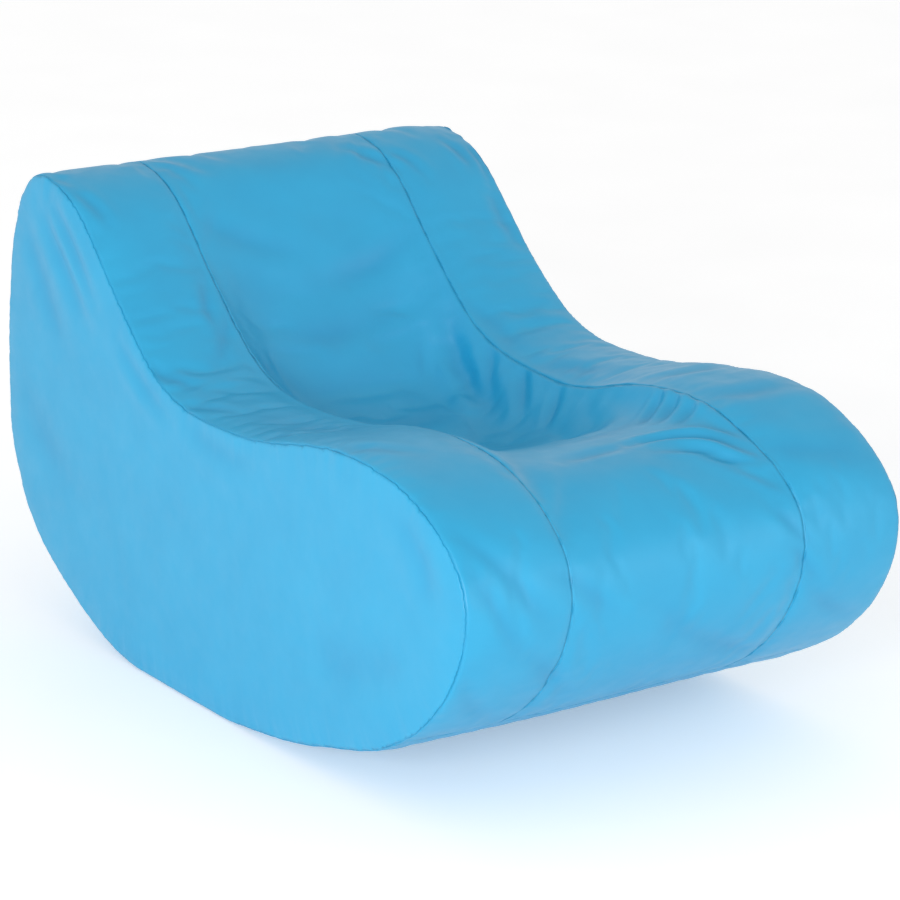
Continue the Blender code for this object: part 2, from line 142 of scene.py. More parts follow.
@dataclass(frozen=True)
class SatinVinyl:
    """Calendered PVC on a knit backing: one even blue with a soft broad sheen and a fine grain."""

    name: str = "cover_vinyl_calendered"
    colour: str = "#1f9bc7"
    # darker blue that the random tone drifts towards, and the painted shade in the creases and along the
    # seams
    shadow: str = "#187fae"
    roughness: float = 0.44
    grain: float = 0.0016
    mottle: float = 0.085

    def make(self) -> bpy.types.Material:
        """Builds the material."""
        material, tree, place = new_material(self.name)
        mottle = add_node(
            tree, "ShaderNodeTexNoise", {"Vector": place, "Scale": 1 / self.mottle, "Detail": 3.0}
        )
        # handled vinyl: the tone drifts a little over a hand's width at random, and painted shade darkens
        # the fold valleys and a thin line along each seam
        tone = add_node(
            tree,
            "ShaderNodeMapRange",
            {
                "Value": mottle.outputs["Fac"],
                "From Min": 0.3,
                "From Max": 0.7,
                "To Min": 0.0,
                "To Max": 0.16,
            },
        )
        # painted shade: a darkening stored on the cover's points for the fold valleys and a thin line along
        # each seam
        crease = add_node(tree, "ShaderNodeAttribute", attribute_name="crease")
        tone_and_shade = add_node(
            tree,
            "ShaderNodeMath",
            {0: tone.outputs[0], 1: crease.outputs["Fac"]},
            operation="ADD",
            use_clamp=True,
        )
        colour = add_node(
            tree,
            "ShaderNodeMix",
            {0: tone_and_shade.outputs[0], 6: linear(self.colour), 7: linear(self.shadow)},
            data_type="RGBA",
        )
        rub = add_node(tree, "ShaderNodeTexNoise", {"Vector": place, "Scale": 1 / 0.030, "Detail": 4.0})
        gloss = add_node(
            tree,
            "ShaderNodeMapRange",
            {
                "Value": rub.outputs["Fac"],
                "From Min": 0.25,
                "From Max": 0.75,
                "To Min": self.roughness - 0.05,
                "To Max": self.roughness + 0.06,
            },
        )
        # pebbled grain about a millimetre across, drawn a little coarse so that it still catches the light
        pebble = add_node(
            tree,
            "ShaderNodeTexVoronoi",
            {"Vector": place, "Scale": 1 / self.grain},
            feature="SMOOTH_F1",
        )
        slack = add_node(tree, "ShaderNodeTexNoise", {"Vector": place, "Scale": 1 / 0.045, "Detail": 2.0})
        soft = add_node(
            tree,
            "ShaderNodeBump",
            {"Height": slack.outputs["Fac"], "Strength": 0.25, "Distance": 0.0020},
        )
        bump = add_node(
            tree,
            "ShaderNodeBump",
            {
                "Height": pebble.outputs["Distance"],
                "Strength": 0.10,
                "Distance": 0.0004,
                "Normal": soft.outputs["Normal"],
            },
        )
        end_surface(
            tree,
            {
                "Base Color": colour.outputs[2],
                "Roughness": gloss.outputs[0],
                "IOR": 1.53,
                "Normal": bump.outputs["Normal"],
            },
        )
        return material


@dataclass(frozen=True)
class WovenCloth:
    """Plain woven polyester: crossing threads give a fine matt check, darker where the weave dips as painted
    shade, with a slight sheen.
    """

    name: str
    colour: str
    # painted shade: the darker colour in the dips of the weave
    valley: str
    thread: float
    roughness: float = 0.85
    turn: tuple[float, float, float] = (0.0, 0.0, 0.0)

    def make(self) -> bpy.types.Material:
        """Builds the material."""
        material, tree, place = new_material(self.name)
        turned = add_node(tree, "ShaderNodeMapping", {"Vector": place, "Rotation": self.turn})
        # a wave every two threads, on each of the three axes, so that any flat face shows a weave
        waves = [
            add_node(
                tree,
                "ShaderNodeTexWave",
                {"Vector": turned.outputs["Vector"], "Scale": 0.314 / self.thread / 2, "Distortion": 0.4},
                bands_direction=axis,
            ).outputs["Fac"]
            for axis in ("X", "Y", "Z")
        ]
        pair = add_node(tree, "ShaderNodeMath", {0: waves[0], 1: waves[1]}, operation="MULTIPLY")
        weave = add_node(tree, "ShaderNodeMath", {0: pair.outputs[0], 1: waves[2]}, operation="MAXIMUM")
        # painted shade: the weave's low parts take the darker colour
        colour = add_node(
            tree,
            "ShaderNodeMix",
            {0: weave.outputs[0], 6: linear(self.valley), 7: linear(self.colour)},
            data_type="RGBA",
        )
        bump = add_node(
            tree,
            "ShaderNodeBump",
            {"Height": weave.outputs[0], "Strength": 0.5, "Distance": self.thread * 0.4},
        )
        end_surface(
            tree,
            {
                "Base Color": colour.outputs[2],
                "Roughness": self.roughness,
                "Sheen Weight": 0.15,
                "Normal": bump.outputs["Normal"],
            },
        )
        return material


@dataclass(frozen=True)
class MouldedNylon:
    """Heat-set nylon filament: small smooth teeth with a dull plastic gleam."""

    name: str = "zip_teeth_heat_set_nylon"
    colour: str = "#1b86c4"
    worn: str = "#3a9fd6"
    roughness: float = 0.42

    def make(self) -> bpy.types.Material:
        """Builds the material."""
        material, tree, place = new_material(self.name)
        wear = add_node(tree, "ShaderNodeTexNoise", {"Vector": place, "Scale": 1 / 0.006, "Detail": 3.0})
        colour = add_node(
            tree,
            "ShaderNodeMix",
            {0: wear.outputs["Fac"], 6: linear(self.colour), 7: linear(self.worn)},
            data_type="RGBA",
        )
        bump = add_node(
            tree,
            "ShaderNodeBump",
            {"Height": wear.outputs["Fac"], "Strength": 0.2, "Distance": 0.0001},
        )
        end_surface(
            tree,
            {
                "Base Color": colour.outputs[2],
                "Roughness": self.roughness,
                "IOR": 1.53,
                "Normal": bump.outputs["Normal"],
            },
        )
        return material


@dataclass(frozen=True)
class TumbledSteel:
    """Plated, tumbled steel: bright grey with faint brush lines and a duller, handled skin."""

    name: str = "zip_slider_tumbled_steel"
    colour: str = "#c3c6ca"
    dull: str = "#8e9399"
    roughness: float = 0.30

    def make(self) -> bpy.types.Material:
        """Builds the material."""
        material, tree, place = new_material(self.name)
        stretched = add_node(tree, "ShaderNodeMapping", {"Vector": place, "Scale": (0.15, 1.0, 1.0)})
        lines = add_node(
            tree,
            "ShaderNodeTexNoise",
            {"Vector": stretched.outputs["Vector"], "Scale": 1 / 0.0003, "Detail": 2.0},
        )
        colour = add_node(
            tree,
            "ShaderNodeMix",
            {0: lines.outputs["Fac"], 6: linear(self.colour), 7: linear(self.dull)},
            data_type="RGBA",
        )
        gloss = add_node(
            tree,
            "ShaderNodeMapRange",
            {
                "Value": lines.outputs["Fac"],
                "To Min": self.roughness - 0.06,
                "To Max": self.roughness + 0.10,
            },
        )
        bump = add_node(
            tree,
            "ShaderNodeBump",
            {"Height": lines.outputs["Fac"], "Strength": 0.15, "Distance": 0.00005},
        )
        end_surface(
            tree,
            {
                "Base Color": colour.outputs[2],
                "Metallic": 1.0,
                "Roughness": gloss.outputs[0],
                "Normal": bump.outputs["Normal"],
            },
        )
        return material


@dataclass(frozen=True)
class FoamedBeads:
    """Expanded polystyrene beads, steam blown: a heap of matt white balls a few millimetres across."""

    name: str = "beads_expanded_polystyrene"
    colour: str = "#f4f4f0"
    # painted shade in the gaps between the beads
    gap: str = "#b9bab6"
    bead: float = 0.004

    def make(self) -> bpy.types.Material:
        """Builds the material."""
        material, tree, place = new_material(self.name)
        balls = add_node(
            tree, "ShaderNodeTexVoronoi", {"Vector": place, "Scale": 1 / self.bead, "Randomness": 0.8}
        )
        round_top = add_node(
            tree,
            "ShaderNodeMapRange",
            {
                "Value": balls.outputs["Distance"],
                "From Min": 0.0,
                "From Max": 0.7,
                "To Min": 1.0,
                "To Max": 0.0,
            },
            interpolation_type="SMOOTHSTEP",
        )
        # painted shade: the edges of each bead take the darker gap colour
        colour = add_node(
            tree,
            "ShaderNodeMix",
            {0: round_top.outputs[0], 6: linear(self.gap), 7: linear(self.colour)},
            data_type="RGBA",
        )
        bump = add_node(
            tree,
            "ShaderNodeBump",
            {"Height": round_top.outputs[0], "Strength": 0.8, "Distance": self.bead * 0.5},
        )
        end_surface(
            tree,
            {"Base Color": colour.outputs[2], "Roughness": 0.75, "Normal": bump.outputs["Normal"]},
        )
        return material


@dataclass(frozen=True)
class SpunThread:
    """Bonded polyester sewing thread: twisted plies with painted shade in the grooves between them and a
    faint waxy sheen.
    """

    name: str = "stitching_bonded_polyester"
    colour: str = "#1a82c0"
    # painted shade in the grooves of the twist
    ply: str = "#11689e"
    pitch: float = 0.0006

    def make(self) -> bpy.types.Material:
        """Builds the material."""
        material, tree, place = new_material(self.name)
        twist = add_node(
            tree,
            "ShaderNodeTexWave",
            {"Vector": place, "Scale": 0.314 / self.pitch, "Distortion": 0.2},
            bands_direction="DIAGONAL",
        )
        # painted shade: the twist's grooves take the darker colour
        colour = add_node(
            tree,
            "ShaderNodeMix",
            {0: twist.outputs["Fac"], 6: linear(self.ply), 7: linear(self.colour)},
            data_type="RGBA",
        )
        bump = add_node(
            tree,
            "ShaderNodeBump",
            {"Height": twist.outputs["Fac"], "Strength": 0.4, "Distance": 0.0001},
        )
        end_surface(
            tree,
            {"Base Color": colour.outputs[2], "Roughness": 0.6, "Normal": bump.outputs["Normal"]},
        )
        return material


@dataclass(frozen=True)
class PaleFloor:
    """Back-lit white acrylic floor: near white, evenly bright, with the faintest cloudiness."""

    name: str = "studio_floor_lit_acrylic"
    glow: float = 0.27
    colour: str = "#f4f4f4"
    patch: str = "#eeeeee"

    def make(self) -> bpy.types.Material:
        """Builds the material."""
        material, tree, place = new_material(self.name)
        roller = add_node(tree, "ShaderNodeTexNoise", {"Vector": place, "Scale": 3.0, "Detail": 2.0})
        colour = add_node(
            tree,
            "ShaderNodeMix",
            {0: roller.outputs["Fac"], 6: linear(self.colour), 7: linear(self.patch)},
            data_type="RGBA",
        )
        end_surface(
            tree,
            {
                "Base Color": colour.outputs[2],
                "Roughness": 0.9,
                "Emission Color": linear("#ffffff"),
                "Emission Strength": self.glow,
            },
        )
        return material


@dataclass
class Finishes:
    """Every material of the chair, made once."""

    vinyl: bpy.types.Material = field(default_factory=lambda: SatinVinyl().make())
    tape: bpy.types.Material = field(
        default_factory=lambda: WovenCloth(
            # the second colour is the painted shade in the weave's dips
            "zip_tape_woven_polyester", "#2391d0", "#14669a", 0.0007, turn=(math.radians(26), 0.0, 0.0)
        ).make()
    )
    lining: bpy.types.Material = field(
        default_factory=lambda: WovenCloth(
            # the second colour is the painted shade in the weave's dips
            "lining_woven_polyester", "#e9e9e4", "#bdbdb6", 0.0009, roughness=0.9
        ).make()
    )
    teeth: bpy.types.Material = field(default_factory=lambda: MouldedNylon().make())
    steel: bpy.types.Material = field(default_factory=lambda: TumbledSteel().make())
    beads: bpy.types.Material = field(default_factory=lambda: FoamedBeads().make())
    thread: bpy.types.Material = field(default_factory=lambda: SpunThread().make())
    floor: bpy.types.Material = field(default_factory=lambda: PaleFloor().make())


# --- Shared mesh work -------------------------------------------------------------------------


def add_piece(
    name: str,
    mesh: bpy.types.Mesh,
    material: bpy.types.Material,
    body: str,
    stands_for: str | None = None,
) -> bpy.types.Object:
    """Puts a finished mesh in the scene as a piece that rides on a body.

    Args:
        name: the piece's name.
        mesh: its mesh, in the chair's frame.
        material: its finish.
        body: the body it moves with.
        stands_for: the CAD node it replaces, if it replaces one.

    Returns:
        The new object.
    """
    obj = bpy.data.objects.new(name, mesh)
    bpy.context.scene.collection.objects.link(obj)
    mesh.materials.clear()
    mesh.materials.append(material)
    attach(obj, body)
    if stands_for:
        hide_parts(stands_for)
    LOG.info("%s: %d faces", name, len(mesh.polygons))
    return obj


def mesh_from(bm: bmesh.types.BMesh, name: str, place: Matrix | None = None) -> bpy.types.Mesh:
    """Turns a bmesh into a smooth shaded mesh and frees it.

    Args:
        bm: the bmesh.
        name: the mesh's name.
        place: where to move it to first.

    Returns:
        The new mesh.
    """
    if place is not None:
        bmesh.ops.transform(bm, matrix=place, verts=bm.verts)
    for face in bm.faces:
        face.smooth = True
        face.material_index = 0
    mesh = bpy.data.meshes.new(name)
    bm.to_mesh(mesh)
    bm.free()
    return mesh


def add_box(bm: bmesh.types.BMesh, low: tuple[float, ...], high: tuple[float, ...]) -> None:
    """Adds a box between two corners."""
    size = [b - a for a, b in zip(low, high)]
    middle = [(a + b) / 2 for a, b in zip(low, high)]
    place = Matrix.Translation(middle) @ Matrix.Diagonal((*size, 1.0))
    bmesh.ops.create_cube(bm, size=1.0, matrix=place)


def extrude_face(bm: bmesh.types.BMesh, face: bmesh.types.BMFace, step: tuple[float, float, float]) -> None:
    """Extrudes a face by a step into a closed block."""
    grown = bmesh.ops.extrude_face_region(bm, geom=[face])["geom"]
    moved = [g for g in grown if isinstance(g, bmesh.types.BMVert)]
    bmesh.ops.translate(bm, verts=moved, vec=step)


def bevel(bm: bmesh.types.BMesh, edges: list[bmesh.types.BMEdge], width: float, segments: int) -> None:
    """Rounds edges over with a bevel of the given width."""
    bmesh.ops.bevel(
        bm,
        geom=edges,
        offset=width,
        segments=segments,
        profile=0.5,
        affect="EDGES",
        material=-1,
        clamp_overlap=True,
    )


def round_edges(bm: bmesh.types.BMesh, radius: float, segments: int, sharper: float = 0.5) -> None:
    """Bevels every edge that turns more than an angle.

    Args:
        bm: the bmesh.
        radius: the bevel's width.
        segments: how many strips it has.
        sharper: the least turn of a bevelled edge, in radians.
    """
    edges = [e for e in bm.edges if len(e.link_faces) == 2 and e.calc_face_angle(0.0) > sharper]
    bevel(bm, edges, radius, segments)


def thicken(piece: bpy.types.Object, thickness: float, offset: float) -> None:
    """Gives a sheet its thickness, inwards at an offset of -1 and to both sides at 0."""
    wall = piece.modifiers.new("thickness", "SOLIDIFY")
    wall.thickness = thickness
    wall.offset = offset


def smooth_noise(point: Vector, seed: float) -> float:
    """Smooth noise from -1 to 1 at a point, different for each seed."""
    return noise.noise(Vector((point[0] + seed, point[1] - 2.7 * seed, point[2] + 1.3 * seed)))


# --- The side outline -------------------------------------------------------------------------


@dataclass
class SideOutline:
    """The chair's outline from the side: a closed line of smooth stretches between knots.

    A station is a distance along it from the top ridge, forward over the seat, under the chair and up its
    back. Each knot is (y, z, heading in degrees from +Y towards +Z).
    """

    knots: tuple[tuple[float, float, float], ...] = (
        (0.556, 0.785, 180.0),
        (0.446, 0.753, 211.0),
        (0.330, 0.646, 223.5),
        (0.200, 0.532, 215.0),
        (0.010, 0.485, 180.0),
        (-0.185, 0.502, 168.0),
        (-0.385, 0.532, 180.0),
        (-0.560, 0.509, 200.0),
        (-0.668, 0.443, 226.0),
        (-0.702, 0.368, 269.0),
        (-0.668, 0.256, 300.0),
        (-0.592, 0.168, 318.0),
        (-0.494, 0.105, 331.0),
        (-0.310, 0.047, 344.5),
        (-0.140, 0.014, 353.0),
        (0.000, 0.000, 0.0),
        (0.250, 0.000, 0.0),
        (0.511, 0.079, 28.5),
        (0.661, 0.2095, 64.0),
        (0.683, 0.2545, 64.0),
        (0.702, 0.385, 90.0),
        (0.684, 0.590, 100.0),
        (0.640, 0.725, 118.0),
    )
    steps: int = 24
    front_seam: tuple[float, float] = (-0.510, 0.114)
    zip_line: tuple[float, float] = (0.672, 0.232)
    back_seam: tuple[float, float] = (0.655, 0.690)
    mouth: tuple[float, float] = (0.698, 0.480)

    def __post_init__(self) -> None:
        """Traces the line and finds where its seams are."""
        line: list[Vector] = []
        for start, end in zip(self.knots, self.knots[1:] + self.knots[:1]):
            line += self.stretch(start, end)
        line.append(line[0])
        self.line = np.array([tuple(p) for p in line])
        lengths = np.hypot(*np.diff(self.line, axis=0).T)
        self.stations = np.concatenate([[0.0], np.cumsum(lengths)])
        self.length = float(self.stations[-1])
        self.front = self.station_of(self.front_seam)
        self.zip = self.station_of(self.zip_line)
        self.back = self.station_of(self.back_seam)

    def stretch(self, start: tuple[float, float, float], end: tuple[float, float, float]) -> list[Vector]:
        """Points along the curve from one knot to the next, without the last.

        Args:
            start: the first knot.
            end: the next knot.

        Returns:
            The points, as (y, z).
        """
        turn = math.radians((end[2] - start[2] + 180.0) % 360.0 - 180.0)
        chord = math.hypot(end[0] - start[0], end[1] - start[1])
        reach = chord / 3.0
        if abs(turn) > 1e-3:
            reach = chord * 2.0 / 3.0 * math.tan(turn / 4.0) / math.sin(turn / 2.0)
        first, last = Vector(start[:2]), Vector(end[:2])
        leave = Vector((math.cos(math.radians(start[2])), math.sin(math.radians(start[2]))))
        arrive = Vector((math.cos(math.radians(end[2])), math.sin(math.radians(end[2]))))
        handle_a, handle_b = first + leave * reach, last - arrive * reach
        shares = [step / self.steps for step in range(self.steps)]
        return [
            first * (1 - t) ** 3
            + handle_a * 3 * t * (1 - t) ** 2
            + handle_b * 3 * t * t * (1 - t)
            + last * t**3
            for t in shares
        ]

    def station_of(self, point: tuple[float, float]) -> float:
        """The station of the line's point nearest to (y, z)."""
        away = np.hypot(self.line[:-1, 0] - point[0], self.line[:-1, 1] - point[1])
        return float(self.stations[int(np.argmin(away))])

    def at(self, stations: np.ndarray) -> tuple[np.ndarray, np.ndarray]:
        """Points of the line and its outward normals.

        Args:
            stations: the distances along it.

        Returns:
            The points and the normals, each with a row (y, z) for each station.
        """
        s = np.mod(stations, self.length)
        points = np.stack([np.interp(s, self.stations, self.line[:, k]) for k in (0, 1)], -1)
        step = 0.004
        ahead, behind = np.mod(s + step, self.length), np.mod(s - step, self.length)
        along = np.stack(
            [
                np.interp(ahead, self.stations, self.line[:, k])
                - np.interp(behind, self.stations, self.line[:, k])
                for k in (0, 1)
            ],
            -1,
        )
        along /= np.linalg.norm(along, axis=1, keepdims=True)
        return points, np.stack([along[:, 1], -along[:, 0]], -1)


@dataclass
class SeatHollow:
    """The hollow that a sitter has pressed into the middle strip, from the shins up to the shoulders."""

    outline: SideOutline
    knots: tuple[tuple[tuple[float, float], float], ...] = (
        ((0.480, 0.770), 0.000),
        ((0.380, 0.692), 0.022),
        ((0.250, 0.572), 0.062),
        ((0.120, 0.500), 0.095),
        ((-0.050, 0.487), 0.105),
        ((-0.200, 0.505), 0.090),
        ((-0.330, 0.529), 0.065),
        ((-0.450, 0.531), 0.035),
        ((-0.600, 0.490), 0.012),
        ((-0.690, 0.420), 0.000),
    )
    wall_power: float = 4.6

    def depth(self, stations: np.ndarray, x: np.ndarray) -> np.ndarray:
        """How far the strip has sunk.

        Args:
            stations: the distances along the outline.
            x: the places across the chair.

        Returns:
            The depth at each, 0 outside the strip.
        """
        known = [(self.outline.station_of(point), depth) for point, depth in self.knots]
        half = self.outline.length / 2
        s = np.mod(stations + half, self.outline.length) - half
        total = np.zeros_like(s)
        for (a, depth_a), (b, depth_b) in zip(known, known[1:]):
            inside = (s >= a) & (s < b)
            total = np.where(inside, depth_a + (depth_b - depth_a) * smooth((s - a) / (b - a)), total)
        share = 1.0 - np.minimum(1.0, np.abs(x) / SUNK_HALF_WIDTH) ** self.wall_power
        return total * share


# --- The sewn cover ---------------------------------------------------------------------------


class Panel(Enum):
    """The seven panels of the cover, numbered as their faces are."""

    LEFT_SIDE = 0
    LEFT_BOLSTER = 1
    CENTRE = 2
    RIGHT_BOLSTER = 3
    RIGHT_SIDE = 4
    BASE = 5
    BACK = 6

    @property
    def node(self) -> str:
        """The name of the CAD node that holds the same panel."""
        return f"{self.name.lower()}_panel"


STRIPS = (Panel.LEFT_BOLSTER, Panel.CENTRE, Panel.RIGHT_BOLSTER)


@dataclass(frozen=True)
class Fold:
    """A soft valley with a low ridge on each side.

    Its ends and middle are (station, x) on the strips and (y, z) on a side panel.
    """

    panels: tuple[Panel, ...]
    start: tuple[float, float]
    middle: tuple[float, float]
    end: tuple[float, float]
    depth: float
    width: float
    ridge: float = 0.45


CENTRE_ONLY = (Panel.CENTRE,)
LEFT_SIDE_ONLY = (Panel.LEFT_SIDE,)
RIGHT_SIDE_ONLY = (Panel.RIGHT_SIDE,)
BACK_ONLY = (Panel.BACK,)
BASE_ONLY = (Panel.BASE,)
LEFT_TOP = (Panel.LEFT_BOLSTER,)
RIGHT_TOP = (Panel.RIGHT_BOLSTER,)
LEFT_PAIR = (Panel.LEFT_BOLSTER, Panel.CENTRE)
RIGHT_PAIR = (Panel.CENTRE, Panel.RIGHT_BOLSTER)

